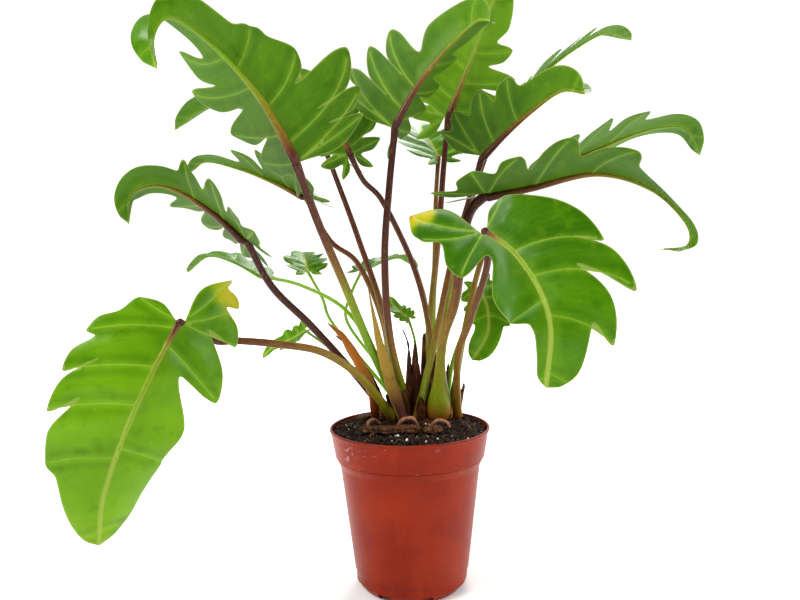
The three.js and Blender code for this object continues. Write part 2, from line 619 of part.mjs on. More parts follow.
add("pot", pot(), "pot", 0.45);
add("soil", soil(), "soil", 1);
add("crown", crown(), "crown", 0.9);
for (const [name, leaf] of Object.entries(LEAVES)) {
  add("stalk_" + name, stalk(leaf), leaf.young ? "green" : "stalk", 0.45);
  add("leaf_" + name, new Blade(leaf).solid(), leaf.young ? "young" : "leaf", 0.4);
}
for (const [name, strip] of Object.entries(STRIPS)) {
  const radiusAt = (share) => lerp(strip.radii[0], strip.radii[1], share);
  add(name, tube(curveThrough(strip.points.map(vector)), radiusAt, strip.flat, 6, 8), strip.colour, 0.8);
}
for (const [name, chip] of Object.entries(CHIPS)) {
  add(name, barkChip(chip), "bark", 0.9);
}

export default plant;
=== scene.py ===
"""A tree philodendron in a 12 cm nursery pot, built round its measured frame. Metres, +Z up."""

import math
import random

import bmesh
import bpy
import numpy as np
from mathutils import Euler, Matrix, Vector, noise
from mathutils.geometry import delaunay_2d_cdt


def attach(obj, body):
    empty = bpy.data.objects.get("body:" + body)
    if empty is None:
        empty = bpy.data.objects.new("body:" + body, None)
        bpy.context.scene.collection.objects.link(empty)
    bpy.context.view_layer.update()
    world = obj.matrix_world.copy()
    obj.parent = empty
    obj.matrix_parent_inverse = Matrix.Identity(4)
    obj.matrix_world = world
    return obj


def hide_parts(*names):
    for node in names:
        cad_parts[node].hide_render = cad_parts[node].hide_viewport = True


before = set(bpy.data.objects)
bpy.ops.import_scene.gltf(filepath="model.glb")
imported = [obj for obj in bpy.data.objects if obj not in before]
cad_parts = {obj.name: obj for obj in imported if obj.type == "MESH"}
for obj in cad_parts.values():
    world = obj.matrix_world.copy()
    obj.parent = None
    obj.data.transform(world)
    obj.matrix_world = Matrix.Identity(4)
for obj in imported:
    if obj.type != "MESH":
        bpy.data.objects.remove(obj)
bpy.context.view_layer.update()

MM = 0.001  # lengths in the sections below are written in millimetres

# ---- Pot ----
# A thin-walled nursery pot, injection moulded in brick-red polypropylene: a collar with a rolled
# lip, a tapered body, and a skirt notched for drainage. It is scuffed and dusted with dry soil.
FOOT_HEIGHT = 5
NOTCHES = 8
NOTCH_WIDTH = 9
NOTCH_TURN = -31  # degrees from the front to the first notch
NOTCH_FROM_RADIUS = 32
SKIRT_INSIDE_RADIUS = 37
POT_STEPS = 360
# radius, height and corner radius, from the middle of the underside round to the inside floor
POT_OUTLINE = [
    (0, 0, 0), (8, 0, 0.4), (9, 5, 0.6), (35.4, 5, 0.3), (36, 0, 0.3), (38, 0, 0.8), (42, 5, 2),
    (42, 12, 0.3), (43, 12.6, 0.4), (52.6, 90.5, 1.5), (55.5, 96.2, 0.2), (55.3, 96.6, 0.1),
    (56.2, 97.1, 0.3), (59.3, 115.6, 0.5), (60.2, 116.3, 0.5), (60.2, 117.6, 0.5), (59.6, 118, 0.4),
    (58.6, 118, 0.5), (54.3, 96.9, 1), (51.4, 91.4, 1), (41.6, 7, 1), (0, 7, 0),
]


def rounded(corners, steps=4):
    """The outline with an arc of its own radius at each corner."""
    points = []
    for i, (x, y, radius) in enumerate(corners):
        here = np.array((x, y), float)
        if radius == 0:
            points.append(here)
            continue
        before = np.array(corners[i - 1][:2], float) - here
        after = np.array(corners[i + 1][:2], float) - here
        reach = min(radius, 0.45 * np.linalg.norm(before), 0.45 * np.linalg.norm(after))
        a = here + before / np.linalg.norm(before) * reach
        b = here + after / np.linalg.norm(after) * reach
        for t in np.linspace(0, 1, steps):
            points.append((1 - t) ** 2 * a + 2 * t * (1 - t) * here + t**2 * b)
    return np.array(points)


def ring_faces(rows, steps, closed=True):
    """Quads between rows of points, each row steps long and joined to itself when closed."""
    faces = []
    last = steps if closed else steps - 1
    for i in range(rows - 1):
        for j in range(last):
            k = (j + 1) % steps
            faces.append((i * steps + j, i * steps + k, (i + 1) * steps + k, (i + 1) * steps + j))
    return faces


def make_piece(name, points, faces, traits=None):
    """A smooth mesh object from points in millimetres; traits are numbers kept on its points."""
    mesh = bpy.data.meshes.new(name)
    mesh.from_pydata((np.asarray(points) * MM).tolist(), [], faces)
    mesh.validate()
    mesh.shade_smooth()
    for trait, values in (traits or {}).items():
        layer = mesh.attributes.new(trait, "FLOAT", "POINT")
        layer.data.foreach_set("value", np.asarray(values, np.float32))
    piece = bpy.data.objects.new(name, mesh)
    bpy.context.scene.collection.objects.link(piece)
    return piece


def settle(piece, finish, slot, *nodes):
    """Gives the piece its finish, and fixes it to the plant's body in place of its plain nodes."""
    piece.data.materials.append(finish)
    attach(piece, "root")
    if nodes:
        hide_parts(*nodes)
    return piece


class Field:
    """A number over the surface, so that shader maths can be written as sums and products."""

    def __init__(self, finish, socket):
        self.finish = finish
        self.socket = socket

    def math(self, operation, other):
        return self.finish.node("ShaderNodeMath", {"operation": operation}, {0: self, 1: other})

    def __add__(self, other):
        return self.math("ADD", other)

    def __mul__(self, other):
        return self.math("MULTIPLY", other)

    __radd__ = __add__
    __rmul__ = __mul__

    def between(self, low, high):
        """0 where the number is low, 1 where it is high; low may be the larger."""
        values = {0: self, 1: low, 2: high}
        if low > high:
            values = {0: self, 1: high, 2: low, 3: 1.0, 4: 0.0}
        return self.finish.node("ShaderNodeMapRange", {"interpolation_type": "SMOOTHSTEP"}, values)


class Finish:
    """One material: a Principled surface, and the nodes that vary it over the piece."""

    def __init__(self, name):
        self.material = bpy.data.materials.new(name)
        self.material.use_nodes = True
        self.tree = self.material.node_tree
        self.tree.nodes.clear()

    def node(self, kind, settings=None, sockets=None, give=0):
        """One node; stops are a ramp's (place, colour) pairs, sockets hold values or Fields."""
        made = self.tree.nodes.new(kind)
        for name, value in (settings or {}).items():
            if name == "stops":
                ramp = made.color_ramp
                for place, colour in value[2:]:
                    ramp.elements.new(place)
                for element, (place, colour) in zip(ramp.elements, value):
                    element.position = place
                    element.color = (*colour, 1)
            else:
                setattr(made, name, value)
        for name, value in (sockets or {}).items():
            if isinstance(value, Field):
                self.tree.links.new(value.socket, made.inputs[name])
            elif isinstance(value, tuple) and len(value) == 3 and made.inputs[name].type == "RGBA":
                made.inputs[name].default_value = (*value, 1)
            else:
                made.inputs[name].default_value = value
        return Field(self, made.outputs[give]) if made.outputs else None

    def place(self):
        return self.node("ShaderNodeTexCoord", give="Object")

    def trait(self, name):
        return self.node("ShaderNodeAttribute", {"attribute_name": name}, give="Fac")

    def stretch(self, where, scale):
        return self.node("ShaderNodeVectorMath", {"operation": "MULTIPLY"}, {0: where, 1: scale})

    def noise(self, where, scale, detail=3.0, roughness=0.55, warp=0.0):
        return self.node(
            "ShaderNodeTexNoise",
            sockets={
                "Vector": where, "Scale": scale, "Detail": detail,
                "Roughness": roughness, "Distortion": warp,
            },
        )

    def ramp(self, value, *stops):
        return self.node("ShaderNodeValToRGB", {"stops": sorted(stops)}, {"Fac": value})

    def mix(self, share, first, second):
        """The first colour where share is 0, the second where it is 1."""
        kind = {"data_type": "RGBA", "blend_type": "MIX"}
        return self.node("ShaderNodeMix", kind, {0: share, 6: first, 7: second}, 2)

    def bump(self, height, distance, strength):
        values = {"Height": height, "Distance": distance, "Strength": strength}
        return self.node("ShaderNodeBump", sockets=values)

    def principled(self, **sockets):
        values = {name.replace("_", " "): value for name, value in sockets.items()}
        return self.node("ShaderNodeBsdfPrincipled", sockets=values)

    def close(self, surface):
        self.node("ShaderNodeOutputMaterial", sockets={"Surface": surface})
        return self.material


def pot_mesh():
    outline = rounded(POT_OUTLINE)
    angles = np.linspace(0, 2 * math.pi, POT_STEPS, endpoint=False)
    radii = np.repeat(outline[:, :1], POT_STEPS, axis=1)
    heights = np.repeat(outline[:, 1:], POT_STEPS, axis=1)
    for i in range(NOTCHES):
        middle = math.radians(NOTCH_TURN - 90 + 360 / NOTCHES * i)
        across = radii * np.sin(angles - middle)
        inside = (np.abs(across) < NOTCH_WIDTH / 2) & (np.cos(angles - middle) > 0)
        inside &= radii > NOTCH_FROM_RADIUS
        lifted = inside & (heights < FOOT_HEIGHT - 0.2)
        outer = lifted & (radii > SKIRT_INSIDE_RADIUS)
        radii = np.where(outer, radii + (FOOT_HEIGHT - heights) * 0.75, radii)
        heights = np.where(lifted, FOOT_HEIGHT - 0.2, heights)
    points = np.stack([radii * np.cos(angles), radii * np.sin(angles), heights], axis=2)
    return points.reshape(-1, 3), ring_faces(len(outline), POT_STEPS)


def pot_finish():
    """Brick-red plastic: paler where dust clings, with scuffs on the collar and specks of soil."""
    paint = Finish("pot_plastic")
    where = paint.place()
    height = paint.node("ShaderNodeSeparateXYZ", sockets={0: where}, give="Z")
    cloud = paint.noise(where, 28, 4, 0.6)
    streak = paint.noise(paint.stretch(where, (1, 1, 0.12)), 90, 4, 0.6)
    grain = paint.noise(where, 900, 2)
    red = paint.mix(cloud.between(0.35, 0.7), (0.205, 0.013, 0.001), (0.265, 0.022, 0.001))
    red = paint.mix(streak.between(0.5, 0.75) * 0.25, red, (0.32, 0.045, 0.009))
    scuff_shape = paint.noise(paint.stretch(where, (1, 1, 1.8)), 190, 5, 0.7, 0.6)
    collar = height.between(0.088, 0.1) * height.between(0.119, 0.108)
    patch = paint.noise(where, 35, 2).between(0.46, 0.58)
    scuff = scuff_shape.between(0.59, 0.64) * collar * patch
    red = paint.mix(scuff * 0.75, red, (0.62, 0.42, 0.36))
    speck = paint.noise(where, 420, 2, 0.5).between(0.72, 0.76)
    speck = speck * paint.noise(where, 22, 2).between(0.42, 0.6)
    red = paint.mix(speck * 0.8, red, (0.06, 0.025, 0.014))
    rim = height.between(0.1155, 0.118) * paint.noise(where, 160, 4, 0.65).between(0.42, 0.62)
    red = paint.mix(rim * 0.55, red, (0.07, 0.03, 0.018))
    rough = streak * 0.18 + cloud * 0.14 + scuff * 0.25 + speck * 0.3 + 0.2
    normal = paint.bump(grain * 0.3 + cloud + scuff * 0.5, 0.0004, 0.35)
    surface = paint.principled(
        Base_Color=red, Roughness=rough, Normal=normal, Specular_IOR_Level=0.22
    )
    return paint.close(surface)


settle(make_piece("pot_shell", *pot_mesh()), pot_finish(), "pot", "pot")

# ---- Soil ----
# Dark peat, filled to just under the rim and heaped round the crown. Loose crumbs lie on it, with
# grains of white perlite near the front and fine fibres of root and bark.
SOIL_EDGE_RADIUS = 57.7
HEAP = ([0, 36, 46, 52, 57.8], [121.2, 120.6, 118.2, 116, 114.3])  # height at each radius
SOIL_INSIDE_POT = ((53.9, 97), (51.0, 91.4), (41.2, 7.4), (0.05, 7.4))  # radius and height
SOIL_RINGS = 70
SOIL_STEPS = 220
CRUMBS = 1500
PERLITE_GRAINS = 64
FIBRES = 230
FLAKES = 90
chance = random.Random(12)


def soil_height(x, y):
    spot = Vector((x, y, 0))
    lumps = 1.5 * noise.fractal(spot / 11, 0.9, 2.0, 4) + 0.9 * noise.noise(spot / 3.1)
    edge = min(1, max(0, (SOIL_EDGE_RADIUS - math.hypot(x, y)) / 6))
    return float(np.interp(math.hypot(x, y), *HEAP)) + lumps * (0.35 + 0.65 * edge)


def soil_mesh():
    """The heap on top, and plain sides and bottom inside the pot."""
    rows = []
    for i in range(SOIL_RINGS + 1):
        radius = max(0.05, SOIL_EDGE_RADIUS * i / SOIL_RINGS)
        for j in range(SOIL_STEPS):
            turn = -2 * math.pi * j / SOIL_STEPS
            x, y = radius * math.cos(turn), radius * math.sin(turn)
            rows.append((x, y, soil_height(x, y)))
    for radius, height in SOIL_INSIDE_POT:
        for j in range(SOIL_STEPS):
            turn = -2 * math.pi * j / SOIL_STEPS
            rows.append((radius * math.cos(turn), radius * math.sin(turn), height))
    count = SOIL_RINGS + 1 + len(SOIL_INSIDE_POT)
    faces = ring_faces(count, SOIL_STEPS)
    last = (count - 1) * SOIL_STEPS
    faces.append(tuple(reversed(range(SOIL_STEPS))))
    faces.append(tuple(range(last, last + SOIL_STEPS)))
    return rows, faces


def soil_finish():
    paint = Finish("peat")
    where = paint.place()
    clod = paint.noise(where, 220, 6, 0.7)
    fine = paint.noise(where, 900, 4, 0.7)
    brown = paint.ramp(
        clod, (0.3, (0.002, 0.001, 0.001)), (0.5, (0.009, 0.004, 0.002)),
        (0.62, (0.042, 0.018, 0.008)), (0.76, (0.16, 0.08, 0.04)),
    )
    tone = paint.trait("tone")
    brown = paint.mix(tone * 0.8, brown, (0.075, 0.032, 0.014))
    normal = paint.bump(clod + fine * 0.5, 0.0016, 0.9)
    surface = paint.principled(Base_Color=brown, Roughness=fine * 0.3 + 0.7, Normal=normal)
    return paint.close(surface)


def scatter(count, spread, reach, centre=(0, 0)):
    """Places on the heap, denser towards the centre as spread grows, no further out than reach."""
    places = []
    while len(places) < count:
        radius = reach * chance.random() ** spread
        turn = chance.uniform(0, 2 * math.pi)
        x = centre[0] + radius * math.cos(turn)
        y = centre[1] + radius * math.sin(turn)
        if math.hypot(x, y) < SOIL_EDGE_RADIUS - 1.5:
            places.append((x, y, soil_height(x, y)))
    return places


def lumps(places, sizes, flatness, roughness, tones):
    """One mesh of many small rough grains, each a dented ball; sizes and tones are (low, high)."""
    ball = bmesh.new()
    bmesh.ops.create_icosphere(ball, subdivisions=2, radius=1)
    shape = np.array([v.co[:] for v in ball.verts])
    sides = [tuple(v.index for v in f.verts) for f in ball.faces]
    ball.free()
    points, faces, tone = [], [], []
    for place in places:
        size = chance.uniform(*sizes) * chance.uniform(0.7, 1.2)
        squash = np.array((1, chance.uniform(0.6, 1), chance.uniform(*flatness)))
        turn = np.array(Euler([chance.uniform(0, 6.3) for _ in range(3)]).to_matrix())
        seed = Vector((chance.uniform(0, 99), 0, 0))
        dents = np.array([1 + roughness * noise.noise(Vector(p) * 1.4 + seed) for p in shape])
        grain = (shape * dents[:, None] * squash) @ turn.T * size
        start = len(points) * len(shape)
        points.append(grain + np.array(place) + (0, 0, 0.25 * size))
        faces += [tuple(start + k for k in side) for side in sides]
        tone += [chance.uniform(*tones)] * len(shape)
    return np.concatenate(points), faces, {"tone": tone}


soil_paint = soil_finish()
soil_points, soil_faces = soil_mesh()
heap = make_piece("soil_heap", soil_points, soil_faces, {"tone": [0.0] * len(soil_points)})
settle(heap, soil_paint, "soil", "soil")
crumb_places = scatter(CRUMBS, 0.5, SOIL_EDGE_RADIUS)
crumbs = make_piece("soil_crumbs", *lumps(crumb_places, (0.5, 1.9), (0.5, 1), 0.9, (0.0, 0.75)))
settle(crumbs, soil_paint, "soil")


def perlite_finish():
    paint = Finish("perlite")
    where = paint.place()
    pits = paint.noise(where, 1500, 3)
    white = paint.ramp(pits, (0.3, (0.42, 0.36, 0.28)), (0.6, (0.86, 0.82, 0.74)))
    normal = paint.bump(pits, 0.0004, 0.8)
    surface = paint.principled(Base_Color=white, Roughness=0.85, Normal=normal)
    return paint.close(surface)


grain_places = scatter(PERLITE_GRAINS * 2 // 3, 0.7, 24, (8, -34))
grain_places += scatter(PERLITE_GRAINS // 3, 0.5, 56)
grains = make_piece("perlite", *lumps(grain_places, (0.45, 1.15), (0.7, 1), 0.6, (0.0, 1.0)))
settle(grains, perlite_finish(), "soil")


def smooth_way(points, steps):
    """Points on the smooth curve through the given ones, steps to each stretch."""
    given = np.asarray(points, float)
    given = np.vstack([2 * given[0] - given[1], given, 2 * given[-1] - given[-2]])
    t = np.linspace(0, 1, steps, endpoint=False)[:, None]
    way = []
    for a, b, c, d in zip(given, given[1:], given[2:], given[3:]):
        square = 2 * a - 5 * b + 4 * c - d
        cube = 3 * b - a - 3 * c + d
        way.append(b + 0.5 * ((c - a) * t + square * t**2 + cube * t**3))
    return np.vstack([*way, given[-2]])


def lengths_along(way):
    return np.concatenate([[0], np.cumsum(np.linalg.norm(np.diff(way, axis=0), axis=1))])


def unit(vectors):
    return vectors / np.maximum(np.linalg.norm(vectors, axis=-1, keepdims=True), 1e-9)


def even_way(way, step):
    """The same way with points about step apart."""
    run = lengths_along(way)
    marks = np.linspace(0, run[-1], max(4, round(run[-1] / step) + 1))
    return np.stack([np.interp(marks, run, way[:, i]) for i in range(3)], axis=1)


def sweep(way, radii, sides, side_way=(0, 0, 1), section=None):
    """A closed tube along way; section(angle, share) scales it, and side_way is its angle 0."""
    ahead = unit(np.gradient(way, axis=0))
    across = np.array(side_way, float)
    points = []
    for i, (centre, direction) in enumerate(zip(way, ahead)):
        across = across - direction * np.dot(across, direction)
        across = across / np.linalg.norm(across)
        other = np.cross(direction, across)
        for j in range(sides):
            angle = 2 * math.pi * j / sides
            size = radii[i] * (section(angle, i / (len(way) - 1)) if section else 1)
            points.append(centre + size * (math.cos(angle) * across + math.sin(angle) * other))
    rows = len(way)
    faces = ring_faces(rows, sides)
    faces.append(tuple(reversed(range(sides))))
    faces.append(tuple(range((rows - 1) * sides, rows * sides)))
    return np.array(points), faces


def joined(parts):
    """Several (points, faces) as one."""
    points, faces, start = [], [], 0
    for some, sides in parts:
        points.append(some)
        faces += [tuple(start + k for k in side) for side in sides]
        start += len(some)
    return np.concatenate(points), faces


def strand(place, length, thickness, rise):
    """A fine fibre that lies on the soil from place, and wanders as it goes."""
    heading = chance.uniform(0, 2 * math.pi)
    x, y, _ = place
    way = []
    for i in range(7):
        lift = rise * math.sin(math.pi * i / 6) ** 1.5 + 0.3
        way.append((x, y, soil_height(x, y) + lift))
        heading += chance.gauss(0, 0.45)
        x += math.cos(heading) * length / 6
        y += math.sin(heading) * length / 6
        if math.hypot(x, y) > SOIL_EDGE_RADIUS - 1:
            heading += math.pi / 2
            x, y = x * 0.97, y * 0.97
    way = smooth_way(way, 3)
    radii = thickness * np.linspace(1, 0.35, len(way))
    return sweep(way, radii, 5)


def fibre_finish():
    paint = Finish("fibre")
    where = paint.place()
    tone = paint.noise(where, 60, 3)
    brown = paint.ramp(
        tone, (0.35, (0.025, 0.010, 0.005)), (0.5, (0.10, 0.045, 0.02)), (0.66, (0.34, 0.19, 0.09))
    )
    surface = paint.principled(Base_Color=brown, Roughness=paint.noise(where, 700) * 0.3 + 0.6)
    return paint.close(surface)


strands = [
    strand(place, chance.uniform(5, 17), chance.uniform(0.12, 0.32), chance.uniform(0, 2.5))
    for place in scatter(FIBRES, 0.55, 55)
]
fibre_paint = fibre_finish()
settle(make_piece("soil_fibres", *joined(strands)), fibre_paint, "soil")
flake_places = scatter(FLAKES, 0.5, 55)
flakes = make_piece("bark_flakes", *lumps(flake_places, (1.0, 2.6), (0.12, 0.3), 0.7, (0.2, 1.0)))
settle(flakes, fibre_paint, "bark")

# ---- Crown ----
# The short woody stem that every leaf grows from: a dark knob ringed by the scars of old leaves,
# with the torn brown bases of dead sheaths still standing round the stalks.
CROWN_MIDDLE = (9, 12)
CROWN_RADII = (31, 25)
CROWN_TOP = 125
CROWN_BOTTOM = 118.5
SCALE_THICKNESS = 0.5
SCALE_SPOTS = [  # where a torn base stands, its height, width and lean outwards
    (-19, 8, 15, 7, 0.5), (-12, -2, 20, 8, 0.35), (-3, 0, 26, 9, 0.1), (3, 3, 34, 8, -0.05),
    (9, -3, 18, 9, 0.1), (13, 4, 40, 7, 0.0), (15, 12, 30, 9, 0.05), (29, -2, 14, 8, 0.3),
    (38, 12, 24, 8, 0.25), (35, 24, 18, 8, 0.3), (22, 26, 26, 9, 0.1), (7, 30, 20, 9, 0.2),
    (-7, 26, 18, 8, 0.3), (0, 20, 30, 9, 0.0), (5, 2, 58, 9, 0.02), (-2, 6, 50, 8, -0.03),
    (19, 0, 54, 8, 0.06), (12, 10, 64, 8, 0.03), (27, 8, 40, 8, 0.12), (0, 14, 46, 9, 0.0),
]


def crown_mesh():
    rings = 22
    steps = 96
    points = []
    for i in range(rings + 1):
        share = i / rings
        for j in range(steps):
            turn = -2 * math.pi * j / steps
            x = CROWN_MIDDLE[0] + CROWN_RADII[0] * share * math.cos(turn)
            y = CROWN_MIDDLE[1] + CROWN_RADII[1] * share * math.sin(turn)
            dome = CROWN_TOP - 5.5 * share**3
            knobs = 1.3 * noise.noise(Vector((x, y, 0)) / 6)
            knobs += 0.5 * noise.noise(Vector((x, y, 5)) / 2)
            points.append((x, y, dome + knobs))
    for j in range(steps):
        x, y, _ = points[rings * steps + j]
        points.append((x, y, CROWN_BOTTOM))
    faces = ring_faces(rings + 2, steps)
    faces.append(tuple(reversed(range(steps))))
    faces.append(tuple(range((rings + 1) * steps, (rings + 2) * steps)))
    return np.array(points), faces


def sheet_faces(rows, columns):
    """The faces of a thin sheet: its outer points come first, then its inner ones, then the rim."""
    count = rows * columns
    outer = ring_faces(rows, columns, closed=False)
    inner = [tuple(count + k for k in reversed(face)) for face in outer]
    rim = [j for j in range(columns)] + [i * columns + columns - 1 for i in range(1, rows)]
    rim += [(rows - 1) * columns + j for j in reversed(range(columns - 1))]
    rim += [i * columns for i in reversed(range(1, rows - 1))]
    return outer + inner + [(a, a + count, b + count, b) for a, b in zip(rim, rim[1:] + rim[:1])]


def torn_scale(x, y, height, width, lean):
    """A curved strip of dead sheath, wrapped a third of the way round and torn to a point."""
    away = unit(np.array((x - CROWN_MIDDLE[0], y - CROWN_MIDDLE[1], 0.0)))
    aside = np.array((-away[1], away[0], 0.0))
    rows = 14
    columns = 9
    outer, inner = [], []
    for i in range(rows):
        up = i / (rows - 1)
        half = width / 2 * (1 - up**2.2) ** 0.7 + 0.15
        for j in range(columns):
            side = 2 * j / (columns - 1) - 1
            ragged = 1 + 0.12 * noise.noise(Vector((x + side * 3, y, up * 7)))
            bulge = 0.45 * width * (1 - side**2) * (1 - 0.6 * up)
            base = np.array((x, y, 122)) + away * (lean * height * up + bulge - 0.2 * width)
            spot = base + aside * side * half * ragged + np.array((0, 0, height * up * ragged))
            outer.append(spot)
            inner.append(spot - away * SCALE_THICKNESS)
    return np.array(outer + inner), sheet_faces(rows, columns)


def crown_finish():
    paint = Finish("crown_bark")
    where = paint.place()
    streak = paint.noise(paint.stretch(where, (1, 1, 0.16)), 420, 5, 0.65)
    patch = paint.noise(where, 95, 4)
    brown = paint.ramp(
        streak, (0.3, (0.010, 0.003, 0.002)), (0.5, (0.060, 0.014, 0.004)),
        (0.72, (0.22, 0.075, 0.018)),
    )
    brown = paint.mix(patch.between(0.52, 0.7) * 0.4, brown, (0.26, 0.12, 0.04))
    normal = paint.bump(streak, 0.0012, 0.8)
    surface = paint.principled(
        Base_Color=brown, Roughness=streak * 0.3 + 0.5, Normal=normal, Specular_IOR_Level=0.2
    )
    return paint.close(surface)


crown_parts = [crown_mesh()] + [torn_scale(*spot) for spot in SCALE_SPOTS]
settle(make_piece("crown_stem", *joined(crown_parts)), crown_finish(), "crown", "crown")

# ---- Leaves ----
# Each leaf is one organ: a fleshy stalk that clasps the crown, and a leathery blade cut into hooked
# lobes. The stalk runs on under the blade as the midrib, thick and reddish at first, then pale.
BLADE_THICKNESS = 0.7
MESH_STEP = 2.1
STALK_SIDES = 20
RIB_SIDES = 14

# half a blade: lobe tip, notch, lobe tip, notch ... in shares of the blade's length from the joint
OPEN = [
    (0.16, -0.22), (0.11, -0.08), (0.34, -0.03), (0.16, 0.04), (0.42, 0.14),
    (0.15, 0.17), (0.42, 0.32), (0.14, 0.33), (0.34, 0.51), (0.13, 0.52),
]
OPEN_UNEVEN = [
    (0.2, -0.2), (0.12, -0.04), (0.38, 0.04), (0.16, 0.12), (0.43, 0.25),
    (0.15, 0.28), (0.37, 0.43), (0.14, 0.44), (0.26, 0.6), (0.13, 0.61),
]
WIDE = [
    (0.15, -0.2), (0.13, -0.1), (0.3, -0.02), (0.22, 0.06), (0.36, 0.17),
    (0.2, 0.19), (0.37, 0.36), (0.2, 0.38), (0.33, 0.56), (0.19, 0.58),
]
WIDE_UNEVEN = [
    (0.2, -0.18), (0.16, -0.06), (0.34, 0.05), (0.21, 0.12),
    (0.37, 0.26), (0.2, 0.29), (0.35, 0.46), (0.2, 0.48),
]
YOUNG = [
    (0.17, -0.14), (0.15, -0.04), (0.28, 0.08), (0.21, 0.14),
    (0.3, 0.28), (0.2, 0.32), (0.26, 0.5), (0.18, 0.52),
]
YOUNG_ENDS = ((0.16, 0.8), (0.16, 0.8))


def margin_keys(points, end, neck):
    """The margin from joint to tip: each lobe swells on its stalk side and hooks forward."""
    keys = [(neck, -0.004)]
    start = np.zeros(2)
    for tip, notch in zip(np.array(points[::2]), np.array(points[1::2])):
        rise = tip - start
        fall = notch - tip
        keys.append(start + 0.55 * rise + 0.15 * np.array((rise[1], -rise[0])))
        keys.append(tip)
        keys.append(tip + 0.25 * fall + 0.06 * np.array((fall[1], -fall[0])))
        keys.append(notch)
        start = notch
    across, along = end
    keys.append(end)
    keys.append((0.4 * across + 0.15 * (1 - along), along + 0.6 * (1 - along) + 0.15 * across))
    keys.append((0, 1))
    return np.array(keys)


def rounded_line(keys, step):
    """A curve through the keys that turns evenly however far apart they are."""
    reach = np.linalg.norm(np.diff(keys, axis=0), axis=1)
    lean = np.empty_like(keys)
    lean[1:-1] = (keys[2:] - keys[:-2]) / (reach[:-1] + reach[1:])[:, None]
    lean[0] = (keys[1] - keys[0]) / reach[0]
    lean[-1] = (keys[-1] - keys[-2]) / reach[-1]
    line = []
    for i, length in enumerate(reach):
        count = max(2, round(length / step))
        t = np.linspace(0, 1, count, endpoint=False)[:, None]
        line.append(
            (2 * t**3 - 3 * t**2 + 1) * keys[i] + (t**3 - 2 * t**2 + t) * length * lean[i]
            + (3 * t**2 - 2 * t**3) * keys[i + 1] + (t**3 - t**2) * length * lean[i + 1]
        )
    return np.vstack([*line, keys[-1]])


def distance_to(points, starts, ends):
    """How far each flat point is from the nearest of the given segments."""
    nearest = np.full(len(points), 1e9)
    for a, b in zip(starts, ends):
        way = b - a
        t = np.clip((points - a) @ way / max(way @ way, 1e-9), 0, 1)
        nearest = np.minimum(nearest, np.linalg.norm(points - a - t[:, None] * way, axis=1))
    return nearest


def is_inside(points, outline):
    """Whether each flat point is inside the closed outline."""
    x, y = points[:, 0], points[:, 1]
    inside = np.zeros(len(points), bool)
    for (ax, ay), (bx, by) in zip(outline, np.roll(outline, -1, axis=0)):
        if ay == by:
            continue
        crossing = (ay > y) != (by > y)
        inside ^= crossing & (x < (bx - ax) * (y - ay) / (by - ay) + ax)
    return inside


